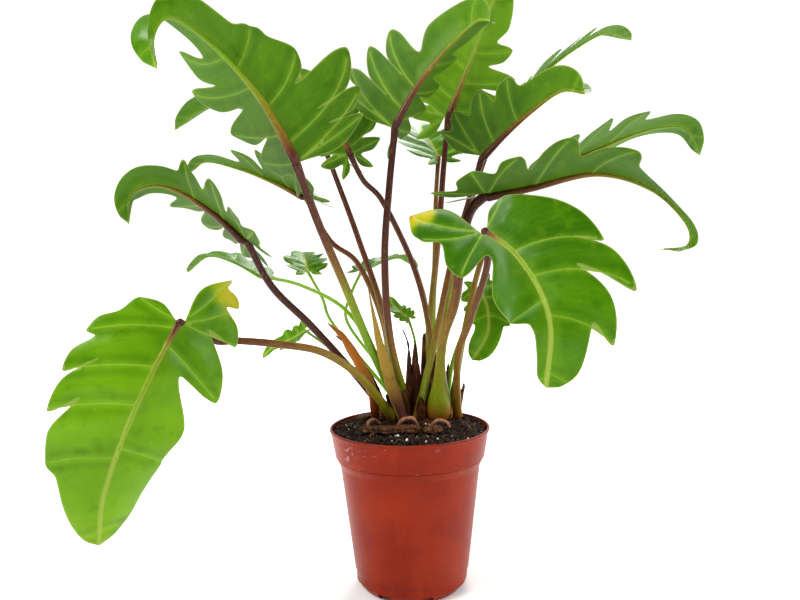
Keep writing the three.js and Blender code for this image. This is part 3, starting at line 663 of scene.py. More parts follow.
class Blade:
    """A leaf blade: its flat outline and veins, and the bent surface that carries them."""

    def __init__(self, midrib, facing, fold, curl, wave, width):
        self.way = smooth_way(midrib, 24)
        self.run = lengths_along(self.way)
        self.length = self.run[-1]
        self.ahead = unit(np.gradient(self.way, self.run, axis=0))
        up = smooth_way(facing, 24)
        self.up = unit(up - self.ahead * np.sum(up * self.ahead, axis=1, keepdims=True))
        self.fold, self.curl, self.wave, self.width = fold, curl, wave, width

    def at(self, table, along):
        marks = np.clip(along, 0, self.length)
        return np.stack([np.interp(marks, self.run, table[:, i]) for i in range(3)], axis=1)

    def place(self, flat, offset):
        """Flat points [across, along] on the bent blade, offset towards its upper face."""
        across, along = np.abs(flat[:, 0]), flat[:, 1]
        half = (flat[:, 0] < 0).astype(int)
        share = np.clip(along / self.length, 0, 1)
        reach = 0.42 * self.length * self.width
        fold = np.array(self.fold, float)
        angle = fold[half, 0] + (fold[half, 1] - fold[half, 0]) * share
        angle = np.radians(angle + 0.5 * np.array(self.curl)[half] * across / reach)
        height, waves, phase = self.wave
        turn = 2 * math.pi * waves * along / self.length + phase + 1.7 * half
        lift = across * np.sin(angle) + height * (across / reach) ** 2 * np.sin(turn) + offset
        ahead = unit(self.at(self.ahead, along))
        up = unit(self.at(self.up, along))
        right = np.cross(ahead, up)
        beyond = (along - np.clip(along, 0, self.length))[:, None]
        aside = (np.sign(flat[:, 0]) * across * np.cos(angle))[:, None]
        return self.at(self.way, along) + ahead * beyond + right * aside + up * lift[:, None]

    def vein(self, tip):
        """A side vein's flat way, from the midrib to near the tip of its lobe."""
        across, along = tip
        root = max(along - 0.45 * across, 0.0)
        t = np.linspace(0, 0.93, 14)[:, None]
        x = 1.1 * t * (1 - t) * across + t**2 * across
        y = (1 - t) ** 2 * root + 2 * t * (1 - t) * (root + 0.3 * (along - root)) + t**2 * along
        return np.hstack([x * self.width, y]) * self.length

    def mesh(self, halves, ends, neck):
        """The closed blade, with the flat measures that its finish needs kept on its points."""
        outline, veins = [], []
        for side, points, end in zip((1, -1), halves, ends):
            keys = margin_keys(points, end, neck / self.length) * (self.width, 1) * self.length
            line = rounded_line(keys, 1.5)
            line[:, 0] = np.maximum(line[:, 0], 0) * side
            outline.append(line if side > 0 else line[-2::-1])
            for tip in points[::2]:
                veins.append(self.vein(tip) * (side, 1))
            veins.append(self.vein((end[0] * 0.9, 0.2 * end[1] + 0.8)) * (side, 1))
        outline = np.vstack([[(0, 0.6)], *outline])
        rib = np.stack([np.zeros(40), np.linspace(0.03, 0.985, 40) * self.length], axis=1)

        step = min(MESH_STEP, self.length / 34)
        low, high = outline.min(axis=0), outline.max(axis=0)
        columns = np.arange(low[0], high[0], step)
        rows = np.arange(low[1], high[1], step * 0.866)
        grid = np.stack(np.meshgrid(columns, rows), axis=2)
        grid[1::2, :, 0] += step / 2
        grid = grid.reshape(-1, 2)
        grid = grid[is_inside(grid, outline)]
        nexts = np.roll(outline, -1, axis=0)
        grid = grid[distance_to(grid, outline, nexts) > 0.55 * step]
        lines = [rib] + [vein[is_inside(vein, outline)] for vein in veins]
        lines = [line for line in lines if len(line) > 1]
        for line in lines:
            grid = grid[distance_to(grid, line[:-1], line[1:]) > 0.5 * step]

        points = np.vstack([outline, *lines, grid])
        edges, start = [], len(outline)
        for line in lines:
            edges += [(start + i, start + i + 1) for i in range(len(line) - 1)]
            start += len(line)
        face = [list(range(len(outline)))]
        vectors = [Vector(p) for p in points.tolist()]
        found = delaunay_2d_cdt(vectors, edges, face, 1, 1e-4)
        flat = np.array([v[:] for v in found[0]])
        triangles = np.array([f for f in found[2] if len(f) == 3])
        used, triangles = np.unique(triangles, return_inverse=True)
        flat, triangles = flat[used], triangles.reshape(-1, 3)
        return self.closed(flat, triangles, outline, lines[1:], step)

    def closed(self, flat, triangles, outline, veins, step):
        """Upper and lower faces over the flat triangles, joined by a rounded rim."""
        nexts = np.roll(outline, -1, axis=0)
        edge = distance_to(flat, outline, nexts)
        starts = np.vstack([vein[:-1] for vein in veins])
        ends = np.vstack([vein[1:] for vein in veins])
        vein = distance_to(flat, starts, ends)
        rib = distance_to(flat, np.array([(0.0, 0.0)]), np.array([(0.0, self.length)]))
        nearest = np.minimum(vein, rib)
        quilt = 1.2 * np.minimum(1, nearest / 9) ** 1.3 * np.minimum(1, edge / 9)
        ridge = 0.32 * np.exp(-((vein / (0.4 * step)) ** 2)) * np.clip(edge / 12, 0, 1)
        half = BLADE_THICKNESS / 2 * np.clip(edge / 1.2, 0.35, 1)
        upper = self.place(flat, quilt + half - 0.4 * ridge)
        lower = self.place(flat, quilt - half - ridge)

        sides = {}
        for a, b, c in triangles:
            for pair in ((a, b), (b, c), (c, a)):
                sides[pair] = True
        border = [pair for pair in sides if (pair[1], pair[0]) not in sides]
        outward = np.zeros_like(flat)
        for a, b in border:
            way = flat[b] - flat[a]
            for i in (a, b):
                outward[i] += (way[1], -way[0])
        on_rim = sorted({i for pair in border for i in pair})
        rank = {i: 2 * len(flat) + k for k, i in enumerate(on_rim)}
        rim = self.place((flat + 0.3 * unit(outward))[on_rim], quilt[on_rim])

        count = len(flat)
        faces = [tuple(f) for f in triangles] + [tuple(count + f[::-1]) for f in triangles]
        for a, b in border:
            faces.append((a, rank[a], rank[b], b))
            faces.append((rank[a], a + count, b + count, rank[b]))
        out = np.abs(flat[:, 0])
        root = flat[:, 1] - 0.45 * out * (0.55 + 0.4 * out / self.length)

        def on_all(values):
            return np.concatenate([values, values, values[on_rim]])

        traits = {
            "edge": on_all(edge),
            "vein": on_all(vein),
            "rib": on_all(rib),
            "root": on_all(root),
            "share": on_all(np.clip(flat[:, 1] / self.length, 0, 1)),
            "under": np.concatenate([np.zeros(count), np.ones(count), np.full(len(on_rim), 0.5)]),
        }
        return np.vstack([upper, lower, rim]), faces, traits, on_all(flat[:, 0]), on_all(flat[:, 1])


def leaf_finish():
    """Leathery green skin: waxy above with pale veins, duller and paler below, and a thin pale rim.

    The traits are millimetres from the margin, side vein and midrib; tone runs from deep to
    fresh green, and age from green through yellow to brown."""
    paint = Finish("leaf_skin")
    where = paint.place()
    edge, vein, rib = paint.trait("edge"), paint.trait("vein"), paint.trait("rib")
    under, tone, age = paint.trait("under"), paint.trait("tone"), paint.trait("age")
    root, share = paint.trait("root"), paint.trait("share")
    cloud = paint.noise(where, 22, 3)
    mottle = paint.noise(where, 110, 4, 0.6)
    cells = paint.noise(where, 1300, 2)
    below = under.between(0.4, 0.6)
    wander = paint.noise(where, 200, 3) * 1.6 + (-0.8)
    vein, rib = vein + wander * 0.25, rib + wander * 0.25

    # share * 0.22 makes the blade darker towards its joint: painted shade near the crown
    fresh = tone + cloud * 0.5 + share * 0.22 + (-0.36)
    skin = paint.ramp(
        fresh, (0.0, (0.012, 0.060, 0.001)), (0.3, (0.040, 0.140, 0.001)),
        (0.6, (0.105, 0.270, 0.002)), (0.85, (0.210, 0.430, 0.004)), (1.0, (0.330, 0.560, 0.010)),
    )
    skin = paint.mix(below * 0.3, skin, (0.20, 0.34, 0.03))
    skin = paint.mix(mottle.between(0.5, 0.75) * 0.3, skin, (0.26, 0.44, 0.005))
    skin = paint.mix(mottle.between(0.48, 0.25) * 0.3, skin, (0.015, 0.07, 0.001))

    lines = root * 2.0 + mottle * 7.0 + wander
    fine = paint.node("ShaderNodeMath", {"operation": "SINE"}, {0: lines})
    skin = paint.mix(fine.between(0.0, 1.0) * 0.05, skin, (0.30, 0.50, 0.03))
    fade = share.between(1.0, 0.1) * 0.45 + 0.55
    # painted shade: a darker band beside each side vein, where the blade dips into the vein grooves
    vein_groove_shade = vein.between(1.6, 3.6) * vein.between(8.0, 4.0) * 0.2
    skin = paint.mix(vein_groove_shade, skin, (0.012, 0.06, 0.001))
    skin = paint.mix(vein.between(2.0, 0.2) * fade * 0.2, skin, (0.36, 0.52, 0.04))
    skin = paint.mix(vein.between(0.6, 0.1) * fade * 0.36, skin, (0.50, 0.64, 0.14))
    skin = paint.mix(rib.between(8.0, 1.0) * 0.16, skin, (0.34, 0.50, 0.03))
    skin = paint.mix(rib.between(1.9, 0.8) * 0.75, skin, (0.46, 0.56, 0.10))

    aged = age + cloud * 0.4 + mottle * 0.3 + (-0.35)
    yellow = paint.ramp(
        aged, (0.25, (0.36, 0.46, 0.005)), (0.5, (0.62, 0.50, 0.008)),
        (0.75, (0.50, 0.20, 0.015)), (0.95, (0.16, 0.045, 0.012)),
    )
    skin = paint.mix(aged.between(0.12, 0.42), skin, yellow)
    skin = paint.mix(edge.between(0.5, 0.2) * 0.5, skin, (0.44, 0.50, 0.14))
    dots = paint.noise(where, 420, 1).between(0.80, 0.82) * 0.6
    skin = paint.mix(dots, skin, (0.55, 0.68, 0.30))

    relief = vein.between(2.0, 0.0) * (under * 1.2 + (-0.6)) + mottle * 0.2
    normal = paint.bump(relief, 0.0005, 0.35)
    rough = below * 0.16 + mottle * 0.2 + cells * 0.05 + 0.22
    surface = paint.principled(
        Base_Color=skin, Roughness=rough, Normal=normal, Specular_IOR_Level=0.28
    )
    lit = paint.node("ShaderNodeBsdfTranslucent", sockets={"Color": (0.17, 0.37, 0.003)})
    return paint.close(paint.node("ShaderNodeMixShader", sockets={0: 0.36, 1: surface, 2: lit}))


def stalk_finish():
    """Juicy stalk skin: red runs from fresh green (0) through olive and ochre to red-brown (1)."""
    paint = Finish("stalk_skin")
    where = paint.place()
    run = paint.trait("run")
    grain = paint.node(
        "ShaderNodeCombineXYZ",
        sockets={"X": paint.trait("cosine"), "Y": paint.trait("sine"), "Z": run * 0.06},
    )
    streak = paint.noise(grain, 3.2, 4, 0.6)
    fleck = paint.noise(paint.stretch(where, (1, 1, 0.3)), 900, 2)
    red = paint.trait("red") + streak * 0.5 + (-0.25)
    skin = paint.ramp(
        red, (0.05, (0.15, 0.32, 0.004)), (0.3, (0.19, 0.24, 0.008)), (0.5, (0.20, 0.115, 0.012)),
        (0.72, (0.115, 0.036, 0.012)), (1.0, (0.050, 0.010, 0.006)),
    )
    skin = paint.mix(run.between(20, 3) * 0.6, skin, (0.34, 0.13, 0.012))
    skin = paint.mix(fleck.between(0.58, 0.75) * 0.3, skin, (0.40, 0.28, 0.09))
    skin = paint.mix(fleck.between(0.38, 0.22) * 0.3, skin, (0.035, 0.012, 0.006))
    normal = paint.bump(streak + fleck * 0.15, 0.0004, 0.5)
    surface = paint.principled(
        Base_Color=skin, Roughness=streak * 0.2 + 0.26, Normal=normal, Specular_IOR_Level=0.35
    )
    return paint.close(surface)


leaf_paint = leaf_finish()
stalk_paint = stalk_finish()


def stalk_mesh(root, radii, stalk, blade, red, bulb):
    """The stalk from the crown to the joint, and the midrib that it becomes under the blade."""
    foot = np.array((*root, CROWN_TOP - 2.5))
    way = even_way(smooth_way([foot, *stalk], 10), 3.0)
    run = lengths_along(way)
    share = run / run[-1]
    sizes = radii[0] + (radii[1] - radii[0]) * share
    clasp = 0.5 * np.exp(-run / 14)
    joint = 0.2 * np.exp(-(((run[-1] - run) / 7) ** 2))
    sizes = 0.88 * sizes * (1 + clasp + joint)
    if bulb:
        sizes = np.maximum(sizes, np.interp(run, *bulb))
    way = np.vstack([way, way[-1] + unit(way[-1] - way[-2]) * 1.2])
    sizes = np.append(sizes, sizes[-1] * 0.55)
    towards = blade.up[0] + blade.ahead[0] * 0.5

    def channel(angle, place):
        return 1 - 0.10 * max(0, math.cos(angle)) ** 3 * min(1, place * 3)

    petiole = sweep(way, sizes, STALK_SIDES, towards, channel)
    marks = np.linspace(-0.012, 0.985, max(24, round(blade.length / 3.2)))
    rib_sizes = radii[1] * 1.04 * (1 - marks) * (1 - 0.42 * marks) + 0.24
    rib_sizes[0] *= 0.6
    flat = np.stack([np.zeros(len(marks)), marks * blade.length], axis=1)
    rib_way = blade.place(flat, -0.66 * rib_sizes - 0.1)
    rib = sweep(rib_way, rib_sizes, RIB_SIDES, blade.up[0])

    def round_both(on_stalk, on_rib):
        """A value for each ring of the stalk and of the rib, repeated round the ring."""
        return np.concatenate([np.repeat(on_stalk, STALK_SIDES), np.repeat(on_rib, RIB_SIDES)])

    points, faces = joined([petiole, rib])
    stalk_reds = np.interp(np.append(share, 1), (0, 0.12, 0.45, 0.8, 1), red[:5])
    rib_reds = np.interp(marks, (0, 0.12, 0.5, 1), (red[4], *red[5:]))
    stalk_turns = np.tile(2 * math.pi * np.arange(STALK_SIDES) / STALK_SIDES, len(way))
    rib_turns = np.tile(2 * math.pi * np.arange(RIB_SIDES) / RIB_SIDES, len(marks))
    turns = np.concatenate([stalk_turns, rib_turns])
    traits = {
        "red": round_both(stalk_reds, rib_reds),
        "cosine": np.cos(turns),
        "sine": np.sin(turns),
        "run": round_both(np.append(run, run[-1]), 100 + marks * 100),
    }
    return points, faces, traits


def grow_leaf(
    name, root, radii, stalk, midrib, facing, right, left, ends, fold, curl, wave,
    width=1.0, young=False, tone=0.5, red=(0.2, 0.4, 0.6, 0.8, 0.9, 0.5, 0.15, 0.05),
    aged=(), bulb=None,
):
    """One leaf: stalk with midrib, and blade.

    The midrib goes on from the end of the stalk. fold and curl are in degrees, for the right and
    the left half, and fold has one for each end; wave is its height, its count and its phase; red
    is the redness up the stalk and then along the midrib. aged is a list of yellowing spots on
    the blade, each (across, along, radius, age) in shares of the length, with across negative on
    the left half; bulb is the (distances, radii) of a swollen foot."""
    blade = Blade([stalk[-1], *midrib], facing, fold, curl, wave, width)
    points, faces, traits, across, along = blade.mesh((right, left), ends, radii[1] + 0.6)
    age = np.zeros(len(points))
    for spot_across, spot_along, radius, years in aged:
        away = np.hypot(across / blade.length - spot_across, along / blade.length - spot_along)
        age = np.maximum(age, years * np.clip(1.35 * (1 - away / radius), 0, 1))
    traits |= {"age": age, "tone": np.full(len(points), tone)}
    slot = "young_leaf" if young else "leaf"
    settle(make_piece("blade_" + name, points, faces, traits), leaf_paint, slot, "leaf_" + name)
    stem = make_piece("petiole_" + name, *stalk_mesh(root, radii, stalk, blade, red, bulb))
    settle(stem, stalk_paint, "green_stalk" if young else "stalk", "stalk_" + name)


def grow_young_leaf(
    name, root, radii, stalk, midrib, facing, fold, wave, tone, red, width=1.0
):
    """A young leaf: a green stalk, shallow lobes, and both halves alike and folded the same."""
    grow_leaf(
        name, root, radii, stalk, midrib, facing, YOUNG, YOUNG, YOUNG_ENDS,
        ((fold, fold), (fold, fold)), (0, 0), wave, width, True, tone, red,
    )


grow_leaf(
    "front_left",
    root=(-12, 1), radii=(3.6, 2.3),
    stalk=[
        (-33, -37, 160), (-57, -58, 181), (-83, -69, 188), (-109, -71, 191), (-124, -77, 192),
        (-134, -108, 206),
    ],
    midrib=[(-143, -126, 180), (-158, -132, 145), (-174, -124, 108), (-183, -112, 77)],
    facing=[
        (0.5, -0.8, 0.4), (0.4, -0.9, 0.2), (0.3, -1, -0.1), (0.3, -0.9, -0.4),
        (0.3, -0.8, -0.4),
    ],
    right=[
        (0.18, -0.04), (0.22, 0.04), (0.29, 0.16), (0.25, 0.17), (0.3, 0.34), (0.2, 0.25),
        (0.29, 0.49), (0.2, 0.41), (0.23, 0.68), (0.18, 0.72),
    ],
    left=[
        (0.11, -0.28), (0.11, -0.24), (0.19, -0.19), (0.14, -0.16), (0.25, -0.03), (0.12, -0.03),
        (0.29, 0.24), (0.1, 0.2), (0.2, 0.62), (0.2, 0.7),
    ],
    ends=((0.1, 0.91), (0.15, 0.91)),
    fold=((-10, -10), (-8, -40)), curl=(-12, -12), wave=(2, 2.5, 0.5),
    tone=0.8, red=(0.3, 0.4, 0.5, 0.8, 0.95, 0.35, 0.02, 0),
    aged=[(-0.17, -0.24, 0.2, 0.5), (-0.22, 0.4, 0.14, 0.16)],
)
grow_leaf(
    "front_right",
    root=(37, 9), radii=(3.2, 2.4),
    stalk=[(35, -28, 173), (42, -46, 200), (50, -74, 236), (46, -96, 257)],
    midrib=[(61, -108, 243), (73, -120, 221), (77, -128, 199), (75, -124, 167)],
    facing=[
        (-0.5, -0.9, 0.2), (-0.4, -0.9, 0.3), (-0.3, -0.9, 0.3), (-0.2, -1, 0.1),
        (-0.3, -1, -0.1),
    ],
    right=[
        (0.2, -0.46), (0.24, -0.42), (0.27, -0.32), (0.21, -0.18), (0.29, 0.04), (0.1, 0.11),
        (0.2, 0.62), (0.1, 0.66),
    ],
    left=[
        (0.2, -0.04), (0.3, 0.1), (0.41, 0.4), (0.3, 0.33), (0.45, 0.59), (0.23, 0.44),
        (0.31, 0.76), (0.21, 0.68),
    ],
    ends=((0.06, 0.86), (0.15, 0.9)),
    fold=((0, 0), (0, 0)), curl=(-8, -8), wave=(2, 2, 0),
    tone=0.5, red=(0.5, 0.5, 0.6, 0.75, 0.9, 0.3, 0.05, 0),
    aged=[(0.2, -0.52, 0.2, 0.7), (0.12, -0.38, 0.12, 0.5)],
)
grow_leaf(
    "tall_left",
    root=(-4, 6), radii=(3.8, 3),
    stalk=[(-28, -20, 181), (-44, -34, 225), (-59, -50, 266), (-72, -60, 306)],
    midrib=[
        (-92, -62, 344), (-113, -68, 370), (-132, -78, 386), (-143, -90, 388), (-148, -98, 373),
        (-147, -96, 356),
    ],
    facing=[
        (-0.2, 1, -0.1), (-0.2, 1, 0), (-0.3, 0.9, 0.2), (-0.3, 0.7, 0.6), (-0.5, 0.2, 0.8),
        (-0.9, -0.3, 0.3), (-1, -0.4, 0),
    ],
    right=[
        (0.2, -0.1), (0.12, -0.02), (0.36, 0.14), (0.14, 0.18), (0.42, 0.32), (0.16, 0.34),
        (0.41, 0.54), (0.2, 0.48), (0.3, 0.64), (0.12, 0.58),
    ],
    left=[
        (0.38, 0.08), (0.22, 0.1), (0.42, 0.18), (0.2, 0.17), (0.46, 0.29), (0.17, 0.28),
        (0.26, 0.37), (0.2, 0.46), (0.17, 0.52), (0.12, 0.57),
    ],
    ends=((0.12, 0.84), (0.11, 0.74)),
    fold=((80, 45), (10, 10)), curl=(0, 0), wave=(1, 2, 0),
    tone=0.5, red=(0.1, 0.05, 0.2, 0.85, 0.9, 0.5, 0.12, 0.02),
)
grow_leaf(
    "mid_left",
    root=(-15, 10), radii=(3.6, 2.8),
    stalk=[(-40, 0, 157), (-69, -28, 197), (-93, -42, 225), (-108, -50, 257)],
    midrib=[
        (-127, -54, 275), (-148, -60, 289), (-163, -68, 292), (-175, -74, 284), (-177, -72, 267),
    ],
    facing=[
        (0, 0, 1), (0, 0, 1), (-0.1, 0, 1), (-0.4, -0.1, 0.9), (-0.9, -0.3, 0.3),
        (-0.9, -0.4, 0),
    ],
    right=OPEN, left=WIDE, ends=((0.15, 0.74), (0.2, 0.76)),
    fold=((-14, -6), (8, 24)), curl=(0, 5), wave=(2, 3, 0),
    tone=0.38, red=(0.5, 0.7, 0.95, 1, 1, 0.9, 0.5, 0.1),
)
grow_leaf(
    "centre_tall",
    root=(1, 13), radii=(3.4, 2.6),
    stalk=[(-13, -16, 184), (-16, -22, 243), (-12, -26, 292), (-7, -30, 334)],
    midrib=[(5, -34, 355), (22, -38, 377), (37, -46, 390), (48, -56, 396), (55, -66, 392)],
    facing=[
        (0.1, 1, 0.2), (0.1, 1, 0.1), (0.2, 1, 0.2), (0.4, 0.9, 0.3), (0.7, 0.6, 0.4),
        (0.8, 0.6, 0.1),
    ],
    right=[
        (0.44, 0.08), (0.4, 0.13), (0.51, 0.2), (0.17, 0.17), (0.48, 0.35), (0.15, 0.32),
        (0.42, 0.48), (0.14, 0.49),
    ],
    left=OPEN_UNEVEN,
    ends=((0.22, 0.62), (0.16, 0.74)),
    fold=((15, 15), (80, 80)), curl=(5, 0), wave=(1, 2, 0),
    tone=0.42, red=(0.2, 0.3, 0.8, 1, 1, 0.85, 0.5, 0.1),
)
grow_leaf(
    "right_long",
    root=(23, 6), radii=(3.2, 2.6),
    stalk=[(24, -24, 181), (33, -34, 213), (38, -44, 255), (43, -48, 274), (53, -52, 284)],
    midrib=[
        (81, -60, 288), (120, -72, 294), (150, -84, 282), (168, -92, 260), (169, -92, 246),
        (153, -90, 244),
    ],
    facing=[
        (0, 0, 1), (0, 0, 1), (0, 0, 1), (0.3, -0.2, 0.9), (0.8, -0.3, 0.6), (1, -0.2, 0),
        (0.5, 0, -0.8),
    ],
    right=WIDE, left=OPEN_UNEVEN, ends=((0.07, 0.72), (0.08, 0.72)),
    fold=((14, 14), (8, 8)), curl=(10, 0), wave=(2, 4, 0),
    width=0.72,
    tone=0.28, red=(0.62, 0.3, 0.5, 0.9, 1, 0.8, 0.4, 0.1),
    bulb=((0, 4, 9, 15, 22, 30, 40, 52), (9.6, 10.6, 10.4, 9.2, 7.6, 5.9, 4.5, 3.5)),
)
grow_leaf(
    "right_upper",
    root=(6, 1), radii=(3.4, 2.4),
    stalk=[(22, -2, 190), (34, 0, 242), (46, -6, 283), (56, -12, 316)],
    midrib=[(71, -26, 330), (86, -44, 341), (100, -66, 347), (110, -84, 340)],
    facing=[(0.1, 0.8, 0.6), (0.1, 0.8, 0.6), (0.2, 0.7, 0.7), (0.4, 0.6, 0.7), (0.6, 0.5, 0.6)],
    right=[
        (0.36, -0.1), (0.3, -0.02), (0.38, 0.08), (0.28, 0.15), (0.35, 0.3), (0.22, 0.33),
        (0.28, 0.5), (0.18, 0.54),
    ],
    left=WIDE_UNEVEN,
    ends=((0.16, 0.78), (0.18, 0.78)),
    fold=((25, 25), (72, 72)), curl=(0, 0), wave=(2.5, 4, 0),
    tone=0.4, red=(0.25, 0.3, 0.6, 0.85, 0.95, 0.85, 0.5, 0.1),
)
grow_leaf(
    "right_mid",
    root=(33, 19), radii=(3.2, 2.2),
    stalk=[(43, 18, 180), (57, 26, 235), (76, 34, 279), (110, 38, 312)],
    midrib=[(150, 38, 329), (194, 36, 345), (224, 32, 345), (235, 30, 323)],
    facing=[(0, 0, 1), (0, 0, 1), (0.2, -0.1, 1), (0.8, -0.2, 0.6), (1, -0.2, 0.1)],
    right=WIDE, left=WIDE_UNEVEN, ends=((0.17, 0.76), (0.16, 0.74)),
    fold=((16, 16), (-8, -8)), curl=(0, 0), wave=(2, 3, 0),
    width=0.85,
    tone=0.4, red=(0.3, 0.3, 0.5, 0.7, 0.9, 0.6, 0.3, 0.05),
)
grow_leaf(
    "top_centre",
    root=(9, 16), radii=(3.2, 2.4),
    stalk=[(18, 27, 196), (25, 20, 259), (30, 20, 313), (34, 18, 353)],
    midrib=[(45, 14, 379), (57, 8, 407), (67, 0, 431), (71, -10, 447)],
    facing=[(0, 1, 0.1), (0, 1, 0.2), (0.1, 1, 0.2), (0.2, 0.9, 0.4), (0.3, 0.8, 0.5)],
    right=OPEN, left=OPEN_UNEVEN, ends=((0.17, 0.7), (0.17, 0.72)),
    fold=((15, 15), (15, 15)), curl=(0, 0), wave=(2, 2, 0),
    tone=0.85, red=(0.2, 0.25, 0.5, 0.85, 0.9, 0.6, 0.2, 0.05),
)
grow_leaf(
    "top_right",
    root=(25, 21), radii=(3, 2.2),
    stalk=[(30, 34, 195), (45, 44, 260), (67, 54, 327), (90, 60, 374)],
    midrib=[(117, 66, 401), (149, 74, 425), (178, 82, 440), (204, 92, 437)],
    facing=[
        (-0.5, -0.1, 0.8), (-0.4, -0.1, 0.9), (-0.3, -0.1, 1), (0, -0.1, 1), (0.3, -0.1, 0.9),
    ],
    right=OPEN_UNEVEN, left=OPEN, ends=((0.16, 0.72), (0.17, 0.72)),
    fold=((8, 8), (8, 8)), curl=(0, 0), wave=(2, 2, 0),
    width=0.8,
    tone=0.45, red=(0.2, 0.2, 0.4, 0.7, 0.8, 0.4, 0.1, 0),
)
grow_leaf(
    "behind_right",
    root=(19, 28), radii=(2.8, 2),
    stalk=[(21, 44, 186), (24, 52, 244), (26, 58, 295), (29, 62, 331)],
    midrib=[(23, 82, 348), (16, 106, 365), (13, 128, 376)],
    facing=[(0, -0.5, 0.8), (0, -0.3, 1), (0, -0.1, 1), (0, 0.2, 1)],
    right=OPEN, left=OPEN, ends=((0.17, 0.72), (0.17, 0.72)),
    fold=((20, 20), (20, 20)), curl=(0, 0), wave=(2, 2, 0),
    width=1.1,
    tone=0.5, red=(0.1, 0.1, 0.3, 0.6, 0.7, 0.3, 0.1, 0),
)
grow_leaf(
    "centre_left",
    root=(16, 21), radii=(3, 2.3),
    stalk=[(17, 4, 182), (7, 16, 234), (-17, 18, 288), (-32, 14, 305), (-42, 10, 325)],
    midrib=[(-48, 5, 343), (-59, 2, 360), (-74, 2, 376), (-81, 5, 389)],
    facing=[(0, 1, 0.1), (0.1, 1, 0.1), (0.2, 1, 0.1), (0.3, 0.9, 0.1), (0.4, 0.9, 0)],
    right=OPEN, left=OPEN_UNEVEN, ends=((0.17, 0.7), (0.17, 0.72)),
    fold=((20, 20), (30, 30)), curl=(0, 0), wave=(3, 2, 0),
    tone=0.4, red=(0.2, 0.3, 0.7, 0.9, 0.9, 0.5, 0.2, 0),
)
grow_leaf(
    "back_tall_left",
    root=(-8, 14), radii=(3.2, 2.4),
    stalk=[(-18, 23, 197), (-38, 36, 261), (-54, 47, 306), (-67, 58, 341)],
    midrib=[(-95, 66, 365), (-135, 76, 379), (-172, 86, 384), (-204, 92, 365)],
    facing=[(0.2, 0, 1), (0, 0, 1), (-0.2, 0, 1), (-0.6, 0, 0.8), (-1, 0, 0.3)],
    right=OPEN, left=OPEN_UNEVEN, ends=((0.16, 0.74), (0.16, 0.74)),
    fold=((10, 10), (18, 18)), curl=(0, 0), wave=(2, 2, 0),
    width=0.8,
    tone=0.45, red=(0.2, 0.3, 0.7, 0.9, 0.9, 0.5, 0.2, 0),
)
grow_leaf(
    "back_left",
    root=(-14, 20), radii=(3, 2.3),
    stalk=[(-18, 29, 188), (-39, 44, 241), (-63, 50, 262), (-83, 52, 299)],
    midrib=[(-108, 54, 312), (-138, 58, 324), (-168, 62, 331), (-184, 64, 321)],
    facing=[(0, 0, 1), (0, 0, 1), (0, 0, 1), (-0.5, -0.1, 0.9), (-1, 0, 0.3)],
    right=OPEN_UNEVEN, left=OPEN, ends=((0.16, 0.72), (0.16, 0.72)),
    fold=((8, 8), (18, 18)), curl=(0, 0), wave=(2, 2.5, 1),
    width=0.95,
    tone=0.42, red=(0.2, 0.3, 0.6, 0.8, 0.9, 0.5, 0.2, 0),
)
grow_young_leaf(
    "low_back_left",
    root=(-7, 22), radii=(2.4, 1.5),
    stalk=[(-24, 39, 163), (-51, 48, 204), (-90, 62, 225), (-124, 70, 233)],
    midrib=[(-149, 76, 246), (-174, 82, 252), (-194, 86, 238)],
    facing=[(0, 0, 1), (0, 0, 1), (-0.3, -0.1, 1), (-0.9, 0, 0.4)],
    fold=12, wave=(2, 3, 0),
    tone=0.5, red=(0.05, 0.05, 0.05, 0.1, 0.15, 0.05, 0, 0),
)
grow_young_leaf(
    "back_centre_left",
    root=(-3, 29), radii=(2, 1.3),
    stalk=[(-38, 52, 161), (-66, 70, 194), (-74, 80, 213), (-88, 90, 237)],
    midrib=[(-92, 104, 246), (-97, 124, 252), (-101, 146, 257)],
    facing=[(0, 0, 1), (0, 0, 1), (0, 0, 1), (0, 0.5, 0.8)],
    fold=12, wave=(3, 3, 0), width=1.1,
    tone=0.55, red=(0.05, 0.05, 0.05, 0.1, 0.15, 0.05, 0, 0),
)
grow_young_leaf(
    "back_centre",
    root=(5, 32), radii=(2, 1.3),
    stalk=[(-28, 60, 160), (-53, 80, 193), (-50, 92, 215), (-40, 100, 237)],
    midrib=[(-23, 112, 245), (-5, 124, 249), (11, 134, 239)],
    facing=[(0, 0, 1), (0, 0, 1), (0.1, 0.1, 1), (0.4, 0.2, 0.9)],
    fold=12, wave=(3, 3, 0),
    tone=0.5, red=(0.05, 0.05, 0.05, 0.1, 0.15, 0.05, 0, 0),
)
grow_young_leaf(
    "behind_front_right",
    root=(30, 28), radii=(2.2, 1.4),
    stalk=[(36, 38, 158), (50, 62, 189), (59, 75, 212), (64, 70, 220)],
    midrib=[(69, 62, 202), (68, 58, 181), (55, 57, 159)],
    facing=[(0, -0.9, -0.3), (-0.1, -1, -0.2), (-0.1, -1, 0), (-0.1, -1, 0.1)],
    fold=10, wave=(2, 2, 0),
    tone=0.65, red=(0.05, 0.05, 0.1, 0.2, 0.2, 0.05, 0, 0),
)
grow_young_leaf(
    "small_left",
    root=(-20, 17), radii=(1.8, 1.1),
    stalk=[(-38, 28, 150), (-57, 36, 168), (-84, 42, 188)],
    midrib=[(-95, 46, 181), (-110, 50, 175), (-122, 52, 165)],
    facing=[(-0.6, -0.5, 0.7), (-0.5, -0.5, 0.7), (-0.5, -0.5, 0.7), (-0.6, -0.5, 0.6)],
    fold=10, wave=(1, 3, 0),
    tone=0.6, red=(0.05, 0.05, 0.05, 0.1, 0.1, 0.05, 0, 0),
)
